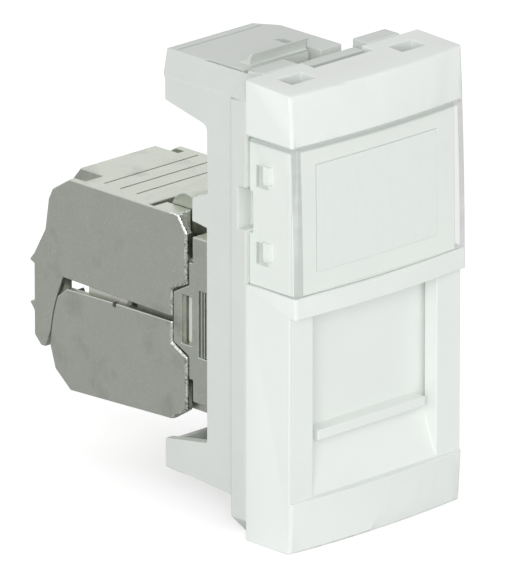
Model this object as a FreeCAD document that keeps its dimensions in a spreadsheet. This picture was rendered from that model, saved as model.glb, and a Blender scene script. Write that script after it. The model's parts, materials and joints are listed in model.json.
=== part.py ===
import FreeCAD, Part
import Sketcher
import math
import os

# A one-module outlet for a 45 mm frame system: white cover with a label window and a
# spring-loaded shutter, a grey carrier that snaps into the frame, and a shielded
# tool-less jack whose two zinc flaps close over the cable.
# Frame: X to the right, Y to the back, Z up. The origin is the middle of the carrier's
# rear seating plane. Sizes marked "up" are heights above the lower edge of the module;
# sizes marked "deep" are depths behind the flat pillar faces of the cover.

SIZES = (
    # The module
    ("module_width", 22.5, "width of one module"),
    ("module_height", 45.0, "height of one module"),
    ("cover_depth", 5.85, "pillar face to the back of the cover"),
    ("flange_thickness", 2.0, "thickness of the carrier's flange"),
    ("seat_gap", 0.05, "play between parts that sit against each other"),
    # The front cover
    ("crown_across", 0.6, "bulge of the front across the width"),
    ("crown_along", 0.75, "bulge of the front along the height"),
    ("crown_reach", 2.0, "block in front of the pillar face before it is domed"),
    ("cover_edge", 0.45, "rounding of the front's outer edges"),
    ("top_draft", 0.3, "rise of the top face from front to back"),
    ("cover_wall", 1.2, "side and lower wall of the cover"),
    ("cover_top_wall", 1.35, "upper wall of the cover"),
    ("band_wall_deep", 1.65, "deep: back of the cover's front wall"),
    ("bottom_band_up", 5.08, "up: top of the lower band"),
    ("pillar_up", 23.3, "up: top of the pillars"),
    ("window_low_up", 25.3, "up: lower edge of the window zone"),
    ("window_high_up", 39.95, "up: upper edge of the window zone"),
    ("recess_half", 8.1, "half width between the pillars"),
    ("ramp_up", 10.2, "up: top of the ramp under the shutter"),
    ("ramp_deep", 1.75, "deep: top of the ramp"),
    ("ramp_bow", 0.24, "hollow of the ramp's curve"),
    ("ramp_wall_deep", 3.2, "deep: back of the ramp"),
    ("channel_half", 8.75, "half width of the shutter's channel"),
    ("panel_half", 10.2, "half width of the white panel behind the window"),
    ("panel_deep", 0.45, "deep: front of the white panel"),
    ("panel_inner_half", 9.0, "half width inside the panel's side walls"),
    ("card_half", 7.75, "half width of the label card"),
    ("card_low_up", 27.25, "up: lower edge of the card"),
    ("card_high_up", 37.55, "up: upper edge of the card"),
    ("card_thickness", 0.25, "thickness of the card"),
    ("card_recess", 0.3, "depth of the card's recess"),
    ("hook_hole_at", 7.2, "middle of each hook hole from the centre line"),
    ("hook_hole_width", 3.1, "width of a hook hole"),
    ("hook_hole_front", 2.25, "deep: front of a hook hole"),
    ("hook_hole_back", 4.2, "deep: back of a hook hole"),
    ("tongue_notch_half", 3.85, "half width of the notch in the top's rear edge"),
    ("tongue_notch_deep", 4.3, "deep: front of that notch"),
    ("spring_seat_up", 40.2, "up: under side of the rib that the spring bears on"),
    ("spring_seat_thickness", 1.4, "thickness of that rib"),
    ("spring_seat_half", 1.6, "half width of that rib and of the shutter's foot"),
    # The label window
    ("window_wall", 0.95, "wall of the clear window"),
    ("window_gap", 0.08, "gap between the window and the bands"),
    ("window_deep", 5.63, "deep: rear edge of the window's sides"),
    ("window_edge", 0.5, "rounding of the window's front edges"),
    ("clip_front_deep", 2.8, "deep: front of the window's clip holes"),
    ("clip_back_deep", 4.4, "deep: back of the window's clip holes"),
    ("clip_lower_up", 27.7, "up: lower edge of the lower clip hole"),
    ("clip_upper_up", 35.2, "up: lower edge of the upper clip hole"),
    ("clip_height", 2.2, "height of a clip hole"),
    ("clip_play", 0.4, "play round the cover's clip in its hole"),
    ("pry_low_up", 30.6, "up: lower end of the pry notch"),
    ("pry_high_up", 34.7, "up: upper end of the pry notch"),
    ("pry_deep", 4.8, "deep: front of the pry notch in the window"),
    ("pry_slot_depth", 1.8, "depth of the pry slot in the flange's edge"),
    # The shutter
    ("shutter_half", 8.6, "half width of the shutter's panel"),
    ("shutter_deep", 2.0, "deep: front of the shutter's panel"),
    ("shutter_thickness", 1.0, "thickness of the shutter's panel"),
    ("shutter_high_up", 24.3, "up: top of the shutter's panel"),
    ("lip_half", 7.05, "half width of the pull lip"),
    ("lip_deep", 0.4, "deep: front of the pull lip"),
    ("lip_up", 11.25, "up: top of the pull lip"),
    ("lip_edge", 0.15, "rounding of the pull lip"),
    ("foot_thickness", 1.1, "thickness of the foot under the spring"),
    ("foot_deep", 4.95, "deep: rear end of that foot"),
    ("peg_radius", 0.45, "radius of the pegs inside the spring"),
    ("peg_length", 1.5, "length of those pegs"),
    ("spring_radius", 0.72, "mean radius of the spring"),
    ("spring_wire", 0.24, "wire of the spring"),
    ("spring_deep", 4.05, "deep: axis of the spring"),
    ("spring_turns", 9.0, "turns of the spring"),
    # The carrier
    ("flange_corner", 1.95, "bevel of the flange's corners"),
    ("collar_half", 10.9, "half width over the collar and arms"),
    ("collar_wall", 1.5, "side wall of the collar"),
    ("collar_deep", 11.35, "deep: rear edge of the collar's side walls"),
    ("collar_low_up", 8.2, "up: lower end of the collar's side walls"),
    ("collar_high_up", 39.5, "up: upper end of the collar's side walls"),
    ("collar_round", 0.6, "rounding where the upper arm leaves the side walls"),
    ("foot_round", 0.3, "rounding where the lower arm leaves the side walls"),
    ("arm_top_up", 45.0, "up: top of the upper arm"),
    ("arm_bevel", 1.9, "bevel along the upper arm's long edges"),
    ("arm_tip_deep", 17.0, "deep: tip of the upper arm at its side"),
    ("arm_lean_deep", 18.7, "deep: rear edge of the upper arm's top"),
    ("arm_tip_up", 40.78, "up: under side of the upper arm at its tip"),
    ("arm_tip_height", 2.0, "height of the upper arm's tip face"),
    ("arm_wall", 1.4, "walls of the hollow arms"),
    ("arm_plate_right", 3.6, "right edge of the upper arm's top plate"),
    ("arm_corner", 1.7, "bevel of the plate's rear corner, across"),
    ("arm_corner_play", 0.1, "how far that corner's cut runs past the plate's rear edge"),
    ("arm_corner_long", 2.5, "bevel of the plate's rear corner, front to back"),
    ("foot_arm_low_up", 4.0, "up: under side of the lower arm at the flange"),
    ("foot_arm_tip_deep", 17.05, "deep: tip of the lower arm"),
    ("foot_arm_tip_low_up", 4.45, "up: under side of the lower arm at its tip"),
    ("foot_arm_tip_up", 7.3, "up: upper edge of the lower arm's tip"),
    ("foot_arm_wall", 1.0, "side walls of the lower arm"),
    ("foot_bar_deep", 15.5, "deep: front of the bar across the lower arm"),
    ("foot_bar_thickness", 0.8, "thickness of that bar"),
    ("tab_left", -4.4, "inner end of the flange's left top tab"),
    ("tab_right", 4.6, "inner end of the flange's right top tab"),
    ("tab_reach", 8.9, "outer end of the top tabs from the centre line"),
    ("tab_rise", 0.4, "height of the top tabs above the flange"),
    ("tab_gap_up", 44.1, "up: floor of the gap between the top tabs"),
    ("latch_bar_front", 5.45, "deep: front of the bar in the gap between the tabs"),
    ("latch_bar_back", 6.8, "deep: back of that bar"),
    ("latch_bar_half", 3.75, "half width of that bar"),
    ("cradle_wall", 1.1, "wall of the cradle round the jack"),
    ("cradle_deep", 12.0, "deep: rear edge of the cradle"),
    ("rail_width", 1.1, "width of the rails behind the shutter"),
    ("hook_side_play", 0.2, "play beside a hook in its hole"),
    ("hook_catch_play", 0.05, "play behind a hook's nose"),
    ("hook_thickness", 1.1, "thickness of the hooks that hold the cover"),
    ("hook_nose", 0.75, "height of the hooks' noses"),
    ("stay_low_up", 29.6, "up: lower end of the stay behind the side wall"),
    ("stay_high_up", 33.0, "up: upper end of that stay at the side wall"),
    ("stay_tip_up", 31.9, "up: upper end of that stay at its rear edge"),
    ("stay_deep", 13.4, "deep: rear edge of that stay"),
    ("plate_front_deep", 8.2, "deep: front edge of the upper arm's plate"),
    ("tongue_left", -8.6, "left edge of the release tongue in that plate"),
    ("tongue_front_deep", 8.9, "deep: front edge of the tongue"),
    ("tongue_root_deep", 13.6, "deep: root of the tongue"),
    ("tongue_left_slit", 0.45, "width of the slit left of the tongue"),
    ("tongue_right_slit", 0.85, "width of the slit right of the tongue"),
    ("finger_lip_left", -7.3, "left end of the finger lip on the tongue"),
    ("finger_lip_up", 46.2, "up: top of the finger lip"),
    ("finger_lip_edge", 0.25, "thickness of the finger lip at its top"),
    ("finger_lip_hollow", 0.4, "hollow of the finger lip's front"),
    ("finger_lip_slope", 2.3, "front to back, over which the lip falls to the plate"),
    ("arm_groove_deep", 17.35, "deep: groove near the rear edge of the arm"),
    ("arm_groove_width", 0.28, "width of that groove"),
    ("arm_groove_depth", 0.25, "depth of that groove"),
    # The jack's shell
    ("shell_half", 7.35, "half width of the jack"),
    ("shell_wall", 0.75, "wall of the jack's castings"),
    ("shell_low_up", 10.0, "up: under side of the shell"),
    ("shell_high_up", 26.4, "up: top of the shell"),
    ("shell_front_deep", 3.45, "deep: front of the shell round the port"),
    ("shell_step_deep", 5.3, "deep: front of the shell above the port"),
    ("shell_step_up", 22.6, "up: step in the shell's front"),
    ("shell_block_deep", 17.0, "deep: rear of the shell's upper and lower blocks"),
    ("shell_plate_deep", 17.5, "deep: rear of the shell's side plates"),
    ("shell_plate_low_up", 12.15, "up: lower end of the side plates"),
    ("shell_plate_high_up", 23.75, "up: upper end of the side plates"),
    ("ear_deep", 19.6, "deep: rear of the ears between the flaps"),
    ("ear_low_up", 15.4, "up: lower edge of the ears"),
    ("ear_high_up", 20.35, "up: upper edge of the ears"),
    ("ear_slot_front", 17.1, "deep: front of the slot in an ear"),
    ("ear_slot_back", 18.5, "deep: back of the slot in an ear"),
    ("ear_chin", 1.0, "fall of the ear's lower edge towards the side plate"),
    ("ear_brow", 1.1, "rise of the ear's upper edge towards the side plate"),
    ("ear_slot_low_up", 15.5, "up: lower edge of the slot in an ear"),
    ("ear_slot_high_up", 20.35, "up: upper edge of the slot in an ear"),
    ("grip_front", 13.4, "deep: front of the ribbed grip"),
    ("grip_back", 16.2, "deep: back of the ribbed grip"),
    ("grip_low_up", 14.6, "up: lower edge of the grip"),
    ("grip_high_up", 21.2, "up: upper edge of the grip"),
    ("grip_depth", 0.35, "depth of the grip"),
    ("lug_inner", 3.9, "inner face of a lower hinge lug from the centre line"),
    ("lug_outer", 6.15, "outer face of a lower hinge lug from the centre line"),
    ("lug_radius", 1.25, "rounding of the lower hinge lugs round the pin"),
    ("lug_front_deep", 15.2, "deep: where the hinge lugs leave the shell"),
    ("barrel_half", 5.2, "half width of the upper hinge barrel"),
    ("barrel_radius", 2.0, "radius of the upper hinge barrel"),
    ("pin_radius", 0.5, "radius of the hinge pins"),
    ("pin_half", 6.95, "half length of the hinge pins, which end inside the side walls"),
    ("pin_play", 0.04, "running play round the hinge pins"),
    # The port and what is inside the shell
    ("insert_play", 0.1, "play between the insert and the shell"),
    ("insert_deep", 16.0, "deep: rear of the port insert"),
    ("port_half", 5.95, "half width of the plug port"),
    ("port_low_up", 13.9, "up: floor of the plug port"),
    ("port_high_up", 21.0, "up: roof of the plug port"),
    ("port_end_deep", 15.3, "deep: end of the plug port"),
    ("latch_half", 3.2, "half width of the latch channel"),
    ("latch_low_up", 12.0, "up: floor of the latch channel"),
    ("contact_pitch", 1.016, "spacing of the port contacts"),
    ("contact_count", 8, "contacts in the port"),
    ("contact_wire", 0.36, "wire of the port contacts"),
    ("contact_front_deep", 7.8, "deep: front bend of the port contacts"),
    ("contact_rise", 0.85, "height of the contacts' legs above the port roof"),
    ("contact_tip_deep", 13.0, "deep: free tip of the port contacts"),
    ("contact_tip_up", 18.1, "up: free tip of the port contacts"),
    ("contact_slot", 0.62, "width of the slots for the contacts"),
    ("contact_slot_play", 0.3, "front end of those slots before the contacts"),
    ("shield_front_deep", 4.4, "deep: front end of the shield springs"),
    ("shield_back_deep", 10.6, "deep: rear end of the shield springs"),
    ("shield_low_up", 16.2, "up: lower edge of the shield springs"),
    ("shield_high_up", 18.6, "up: upper edge of the shield springs"),
    ("shield_strip", 0.15, "thickness of the shield springs"),
    ("shield_bulge", 0.9, "how far a shield spring stands off the shell's wall"),
    ("board_thickness", 1.2, "thickness of the contact board"),
    ("board_margin", 0.7, "gap from the board's edge to the shell's cavity"),
    ("block_half", 5.4, "half width of the terminal block"),
    ("block_deep", 26.6, "deep: rear end of the terminal block"),
    ("block_flange_deep", 18.4, "deep: rear face of the terminal block's flange"),
    ("block_low_up", 14.0, "up: under side of the terminal block"),
    ("block_high_up", 21.4, "up: top of the terminal block"),
    ("blade_pitch", 2.5, "spacing of the terminal blades"),
    ("blade_thickness", 0.45, "thickness of a terminal blade"),
    ("blade_width", 2.2, "width of a terminal blade"),
    ("blade_height", 2.6, "height of a blade above the block"),
    ("blade_slot", 0.4, "slot of a terminal blade"),
    ("blade_corner", 0.4, "bevel of a blade's corners"),
    ("blade_mouth", 0.5, "height of the sloped mouth of a blade's slot"),
    ("blade_count", 4, "blades in a row"),
    ("blade_deep", 22.9, "deep: front of the terminal blades"),
    # The flaps
    ("upper_pin_deep", 20.1, "deep: hinge pin of the upper flap"),
    ("upper_pin_up", 27.45, "up: hinge pin of the upper flap"),
    ("lower_pin_deep", 19.2, "deep: hinge pin of the lower flap"),
    ("lower_pin_up", 10.0, "up: hinge pin of the lower flap"),
    ("flap_top_up", 28.08, "up: top face of the upper flap"),
    ("flap_skin", 1.0, "thickness of the flaps' top and bottom"),
    ("upper_front_deep", 17.85, "deep: front edge of the upper flap"),
    ("upper_brow_deep", 18.95, "deep: front end of the upper flap's top edge"),
    ("upper_brow_drop", 1.6, "height of the bevel from there to the front edge"),
    ("boss_front_deep", 19.25, "deep: front of the hinge bosses inside the upper flap"),
    ("boss_back_deep", 22.6, "deep: back of those bosses"),
    ("boss_low_up", 25.5, "up: under side of those bosses"),
    ("top_plate_deep", 23.3, "deep: front edge of the upper flap's top plate"),
    ("rim_thickness", 0.4, "rim left at the side walls by the slot before the plate"),
    ("bay_deep", 32.4, "deep: front edge of the openings at the top's rear corners"),
    ("bay_back_deep", 36.0, "deep: rear edge of those openings"),
    ("bay_depth", 1.3, "depth of those openings"),
    ("bridge_left", -4.2, "left edge of the top between the rear openings"),
    ("bridge_right", 5.7, "right edge of the top between the rear openings"),
    ("bridge_deep", 35.6, "deep: where the top between them slopes down"),
    ("upper_foot_up", 21.4, "up: lower end of that front edge"),
    ("flap_nose_deep", 19.8, "deep: front of the flaps beside the ears"),
    ("upper_nose_up", 20.5, "up: upper flap above the ear"),
    ("upper_low_front_up", 17.78, "up: lower edge of the upper flap at the front"),
    ("upper_low_back_up", 18.05, "up: lower edge of the upper flap at the back"),
    ("upper_slope_deep", 33.8, "deep: where the top slopes down"),
    ("shoulder_run", 2.35, "top's rear edge to the first bend of its slope"),
    ("shoulder_fall", 1.46, "fall of the slope to that bend"),
    ("shoulder_bend_run", 2.9, "top's rear edge to the second bend"),
    ("shoulder_bend_fall", 2.56, "fall of the slope to the second bend"),
    ("shoulder_foot_run", 3.4, "top's rear edge to the slope's foot"),
    ("shoulder_foot_fall", 5.76, "fall of the slope to its foot"),
    ("inside_run", 0.3, "top's rear edge to the bend of the inside"),
    ("inside_fall", 3.4, "fall of the inside to the rear wall"),
    ("upper_low_run", 1.0, "top's rear edge to the rear end of the flap's lower edge"),
    ("front_lean", 0.05, "lean of the flaps' front edges"),
    ("strap_front_deep", 36.75, "deep: front of the rear strap"),
    ("strap_thickness", 2.0, "thickness of the rear strap"),
    ("strap_low_up", 10.5, "up: lower end of the rear strap"),
    ("strap_toe", 0.9, "bevel of the strap's lower rear corner"),
    ("strap_heel", 0.5, "bevel of the strap's lower front corner"),
    ("strap_arc_low", 2.2, "lower end of the strap's arc above the lower pin"),
    ("strap_arc_high", 1.4, "upper end of the strap's arc under the cable's middle"),
    ("barb_deep", 39.4, "deep: tips of the barbs"),
    ("barb_slope", 0.8, "height of a barb's sloped side"),
    ("barb_catch", 0.3, "height of a barb's catching side"),
    ("barb_upper_up", 18.8, "up: upper barb"),
    ("barb_lower_up", 14.6, "up: lower barb"),
    ("rear_wall", 1.2, "thickness of the flaps' rear walls"),
    ("cable_radius", 4.2, "radius of the cable entry"),
    ("cable_up", 17.4, "up: middle of the cable entry"),
    ("lower_floor_up", 6.95, "up: under side of the lower flap"),
    ("lower_top_front_up", 17.45, "up: top of the lower flap at the front"),
    ("lower_top_back_up", 17.05, "up: top of the lower flap at the back"),
    ("lower_nose_up", 15.25, "up: lower flap below the ear"),
    ("lower_nose_bevel", 0.15, "bevel of the lower flap's upper front corner"),
    ("lower_front_deep", 17.8, "deep: front edge of the lower flap"),
    ("lower_reach", 17.4, "hinge pin to the rear edge of the lower flap"),
    ("lower_arc_low", 0.8, "lower end of that rounded rear edge above the pin"),
    ("lower_arc_high", 1.0, "upper end of that rounded edge under the flap's top"),
    ("floor_rise", 0.65, "rise of the lower flap's floor towards the front"),
    ("lower_heel_run", 2.1, "floor's rear bend to the foot of the rear edge"),
    ("lower_heel_rise", 1.7, "rise of the floor to the foot of the rear edge"),
    ("lower_top_run", 0.4, "floor's rear bend to the rear end of the flap's top"),
    ("lower_nose_fall", 1.0, "height of the slope under the ear"),
    ("lower_chin_rise", 1.95, "lower front corner above the floor"),
    ("lower_inside_run", 0.5, "floor's rear bend to the bend of the inside"),
    ("lower_inside_rise", 3.2, "rise of the inside to the rear wall"),
    ("lug_play", 0.3, "play beside the lower hinge lugs"),
    ("flap_groove_pitch", 2.2, "spacing of the grooves in the flaps' skins"),
    ("flap_groove_width", 0.22, "width of those grooves"),
    ("flap_groove_depth", 0.12, "depth of those grooves"),
    ("flap_groove_deep", 26.1, "deep: first of those grooves"),
    ("flap_groove_half", 5.8, "left end of those grooves from the centre line"),
    ("knuckle_gap_deep", 20.9, "deep: rear end of the cut-outs round the lower lugs"),
    ("nick_deep", 27.4, "deep: nick in the upper edge of the lower flap's sides"),
    ("nick_width", 0.5, "width of that nick"),
    ("nick_depth", 0.5, "depth of that nick"),
    # The wire combs
    ("comb_half", 6.3, "half width of the wire combs"),
    ("comb_front_deep", 22.6, "deep: front of the wire combs"),
    ("comb_back_deep", 32.3, "deep: rear of the wire combs"),
    ("comb_gap", 0.5, "comb to terminal block"),
    ("comb_skirt_deep", 27.0, "deep: front of the combs' side skirts"),
    ("comb_skirt", 0.7, "thickness of the side skirts"),
    ("comb_meet_up", 18.4, "up: where the two combs' skirts meet"),
    ("comb_meet_gap", 0.15, "each comb's skirt to that height"),
)

doc = FreeCAD.newDocument("jack_module")
sheet = doc.addObject("Spreadsheet::Sheet", "Sizes")
for row, (alias, value, note) in enumerate(SIZES, start=1):
    sheet.set(f"A{row}", alias)
    sheet.set(f"B{row}", str(value))
    sheet.set(f"C{row}", note)
    sheet.setAlias(f"B{row}", alias)
doc.recompute()


class Size:
    """A number in mm together with the sheet formula that gives it."""

    def __init__(self, value, formula):
        self.value = value
        self.formula = formula

    def joined(self, value, sign, other, swap=False):
        pair = (other, self) if swap else (self, other)
        return Size(value, f"({pair[0].formula} {sign} {pair[1].formula})")

    def __add__(self, other):
        other = as_size(other)
        return self.joined(self.value + other.value, "+", other)

    def __radd__(self, other):
        return as_size(other) + self

    def __sub__(self, other):
        other = as_size(other)
        return self.joined(self.value - other.value, "-", other)

    def __rsub__(self, other):
        return as_size(other) - self

    def __mul__(self, other):
        other = as_size(other)
        return self.joined(self.value * other.value, "*", other)

    def __rmul__(self, other):
        return as_size(other) * self

    def __truediv__(self, other):
        other = as_size(other)
        return self.joined(self.value / other.value, "/", other)

    def __neg__(self):
        return Size(-self.value, f"(-1 * {self.formula})")

    def root(self):
        return Size(math.sqrt(self.value), f"sqrt({self.formula})")


def as_size(number):
    if isinstance(number, Size):
        return number
    return Size(float(number), f"({number})")


class Book:
    """Gives each size of the sheet by its name."""

    def __getattr__(self, alias):
        return Size(float(sheet.get(alias)), f"{sheet.Name}.{alias}")


size = Book()
HALF_W = size.module_width / 2
SEAT_TO_FACE = size.cover_depth + size.flange_thickness
REACH = 3.0
CORNER_OVERRUN = 0.15
CORNER_EASE = 1.2
OVERLAP = 0.01
SPRING_RUNS = 10
GROOVES = 3


def up(height):
    """Z of a height above the lower edge of the module."""
    return as_size(height) - size.module_height / 2


def deep(depth):
    """Y of a depth behind the cover's pillar faces."""
    return as_size(depth) - SEAT_TO_FACE


def bow_radius(chord, rise):
    """Radius of an arc from its chord and its rise."""
    return (chord * chord / 4 + rise * rise) / (2 * rise)


# Sketch and feature helpers

def new_body(label):
    body = doc.addObject("PartDesign::Body", label)
    body.Label = label
    body.AllowCompound = True
    return body


def attach(body, name, plane, offset):
    """A sketch on an origin plane, moved to the coordinate offset along its normal."""
    sketch = body.newObject("Sketcher::SketchObject", name)
    planes = {item.Role: item for item in body.Origin.OriginFeatures}
    sketch.AttachmentSupport = [(planes[plane + "_Plane"], "")]
    sketch.MapMode = "FlatFace"
    away = -offset if plane == "XZ" else offset
    sketch.setExpression("AttachmentOffset.Base.z", away.formula)
    return sketch


def arc_between(start, end, radius, turn):
    """Circle arc from start to end; turn is 1 with its centre left of the way, else -1."""
    middle = (start + end) * 0.5
    half = (end - start) * 0.5
    left = FreeCAD.Vector(-half.y, half.x, 0).normalize()
    height = math.sqrt(max(radius * radius - half.Length ** 2, 0.0))
    centre = middle + left * (height * turn)
    angles = [math.atan2(p.y - centre.y, p.x - centre.x) for p in (start, end)]
    if turn < 0:
        angles.reverse()
    return Part.ArcOfCircle(Part.Circle(centre, FreeCAD.Vector(0, 0, 1), radius), *angles)


def pin_point(sketch, geo, position, x, y):
    """Ties a sketch point to two sizes measured from the sketch's origin."""
    for kind, measure in (("DistanceX", x), ("DistanceY", y)):
        index = sketch.addConstraint(Sketcher.Constraint(kind, -1, 1, geo, position, measure.value))
        sketch.setExpression(f"Constraints[{index}]", measure.formula)


def draw_outline(sketch, corners):
    """Closes an outline; a corner is (x, y) or (x, y, radius, turn) where an arc starts."""
    corners = [tuple(as_size(v) for v in corner[:3]) + tuple(corner[3:]) for corner in corners]
    points = [FreeCAD.Vector(corner[0].value, corner[1].value, 0) for corner in corners]
    ends = []
    for index, corner in enumerate(corners):
        start = points[index]
        end = points[(index + 1) % len(points)]
        if len(corner) > 2:
            radius, turn = corner[2], corner[3]
            geo = sketch.addGeometry(arc_between(start, end, radius.value, turn), False)
            tie = sketch.addConstraint(Sketcher.Constraint("Radius", geo, radius.value))
            sketch.setExpression(f"Constraints[{tie}]", radius.formula)
            ends.append((geo, 1, 2) if turn > 0 else (geo, 2, 1))
        else:
            geo = sketch.addGeometry(Part.LineSegment(start, end), False)
            ends.append((geo, 1, 2))
    for index, (geo, first, last) in enumerate(ends):
        following = ends[(index + 1) % len(ends)]
        sketch.addConstraint(Sketcher.Constraint("Coincident", geo, last, following[0], following[1]))
        pin_point(sketch, geo, first, corners[index][0], corners[index][1])


def draw_circle(sketch, centre, radius):
    x, y = as_size(centre[0]), as_size(centre[1])
    circle = Part.Circle(FreeCAD.Vector(x.value, y.value, 0), FreeCAD.Vector(0, 0, 1), radius.value)
    geo = sketch.addGeometry(circle, False)
    tie = sketch.addConstraint(Sketcher.Constraint("Radius", geo, radius.value))
    sketch.setExpression(f"Constraints[{tie}]", radius.formula)
    pin_point(sketch, geo, 3, x, y)


def check_state(feature):
    if "Invalid" in feature.State or "Error" in feature.State:
        raise RuntimeError(f"{feature.Label} failed: {feature.State}")


def extrude(body, name, plane, shape, low, high, cutting):
    """Pads or pockets a shape between two coordinates along the plane's axis."""
    low, high = as_size(low), as_size(high)
    sketch = attach(body, name + "_sketch", plane, low)
    if isinstance(shape, list):
        draw_outline(sketch, shape)
    else:
        draw_circle(sketch, shape[0], shape[1])
    before = body.Shape.Volume if body.Tip else 0.0
    kind = "PartDesign::Pocket" if cutting else "PartDesign::Pad"
    feature = body.newObject(kind, name)
    feature.Profile = sketch
    feature.setExpression("Length", (high - low).formula)
    feature.Reversed = (plane == "XZ") != cutting
    doc.recompute()
    check_state(sketch)
    check_state(feature)
    change = body.Shape.Volume - before
    if (change >= 0) if cutting else (change <= 0):
        raise RuntimeError(f"{body.Label}: {name} changed nothing")
    return feature


def add(body, name, plane, shape, low, high):
    return extrude(body, name, plane, shape, low, high, False)


def cut(body, name, plane, shape, low, high):
    return extrude(body, name, plane, shape, low, high, True)


def box_outline(low_x, high_x, low_y, high_y):
    return [(low_x, low_y), (high_x, low_y), (high_x, high_y), (low_x, high_y)]


def add_box(body, name, x, y, z):
    return add(body, name, "XY", box_outline(x[0], x[1], y[0], y[1]), z[0], z[1])


def cut_box(body, name, x, y, z):
    return cut(body, name, "XY", box_outline(x[0], x[1], y[0], y[1]), z[0], z[1])


def both(half):
    """The range from minus half to half."""
    half = as_size(half)
    return (-half, half)


def side_range(side, near, far):
    """The X range between two distances from the centre line, on one side."""
    near, far = as_size(near), as_size(far)
    return (near, far) if side > 0 else (-far, -near)


def edges_where(shape, test):
    return [f"Edge{index}" for index, edge in enumerate(shape.Edges, start=1) if test(edge)]


def dress(body, kind, name, radius, test):
    """Fillets or chamfers the edges of the body that pass the test."""
    base = body.Tip
    names = edges_where(base.Shape, test)
    if not names:
        raise RuntimeError(f"{body.Label}: {name} found no edge")
    feature = body.newObject("PartDesign::" + kind, name)
    feature.Base = (base, names)
    feature.setExpression("Radius" if kind == "Fillet" else "Size", radius.formula)
    doc.recompute()
    check_state(feature)
    return feature


def repeat(body, name, features, plane_axis, spacing, count):
    """Repeats features along an origin axis."""
    axes = {item.Role: item for item in body.Origin.OriginFeatures}
    pattern = body.newObject("PartDesign::LinearPattern", name)
    pattern.Originals = features
    pattern.Direction = (axes[plane_axis + "_Axis"], [""])
    pattern.setExpression("Length", (spacing * (count - 1)).formula)
    pattern.Occurrences = int(round(count.value))
    body.Tip = pattern
    doc.recompute()
    check_state(pattern)
    return pattern


def near(value, target, slack=0.02):
    return abs(value - target.value) < slack


# The domed front that the cover and the window share

def domed_block(body, outline, corner):
    """A block with the module's plan whose front is domed both ways and rounded at its sides."""
    add(body, "block", "YZ", outline, -HALF_W, HALF_W)
    edge = deep(-size.crown_along)
    rim = bow_radius(size.module_width, size.crown_across)
    sweep = bow_radius(size.module_height, size.crown_along)
    inner = HALF_W - corner
    inner_y = edge - size.crown_across + rim - (rim * rim - inner * inner).root()
    outer = HALF_W + corner * CORNER_OVERRUN
    sketch = attach(body, "dome_sketch", "XY", as_size(0))
    draw_outline(sketch, [
        (-HALF_W - REACH, deep(-2 * REACH)),
        (HALF_W + REACH, deep(-2 * REACH)),
        (HALF_W + REACH, edge + corner),
        (outer, edge + corner, corner * CORNER_EASE, -1),
        (inner, inner_y, rim, -1),
        (-inner, inner_y, corner * CORNER_EASE, -1),
        (-outer, edge + corner),
        (-HALF_W - REACH, edge + corner),
    ])
    axis_y = edge + sweep
    axis = sketch.addGeometry(Part.LineSegment(FreeCAD.Vector(0, axis_y.value, 0),
                                               FreeCAD.Vector(1, axis_y.value, 0)), True)
    pin_point(sketch, axis, 1, as_size(0), axis_y)
    pin_point(sketch, axis, 2, as_size(1), axis_y)
    groove(body, "dome", sketch, 2 * REACH + size.module_height, sweep)


def rounded_end(body, name, edge_z, sign, corner):
    """Rounds the edge where the domed front meets the top (sign 1) or the bottom (-1)."""
    front = deep(-size.crown_across)
    rim = bow_radius(size.module_width, size.crown_across)
    over = corner * CORNER_OVERRUN
    sketch = attach(body, name + "_sketch", "YZ", as_size(0))
    draw_outline(sketch, [
        (front - over, edge_z - corner * sign, corner * CORNER_EASE, -sign),
        (front + corner, edge_z + over * sign),
        (front + corner, edge_z + REACH * sign),
        (front - REACH, edge_z + REACH * sign),
        (front - REACH, edge_z - corner * sign),
    ])
    axis_y = front + rim
    axis = sketch.addGeometry(Part.LineSegment(FreeCAD.Vector(axis_y.value, 0, 0),
                                               FreeCAD.Vector(axis_y.value, 1, 0)), True)
    pin_point(sketch, axis, 1, axis_y, as_size(0))
    pin_point(sketch, axis, 2, axis_y, as_size(1))
    groove(body, name, sketch, 2 * REACH + size.module_width, rim)


def groove(body, name, sketch, length, radius):
    """Turns a sketch about its construction line, over an arc of the given length."""
    before = body.Shape.Volume
    feature = body.newObject("PartDesign::Groove", name)
    feature.Profile = sketch
    feature.ReferenceAxis = (sketch, ["Axis0"])
    feature.setExpression("Angle", f"({length.formula}) / ({radius.formula}) * 180 / pi")
    feature.Midplane = True
    doc.recompute()
    check_state(feature)
    if body.Shape.Volume >= before:
        raise RuntimeError(f"{body.Label}: {name} cut nothing")


# The front cover

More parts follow.
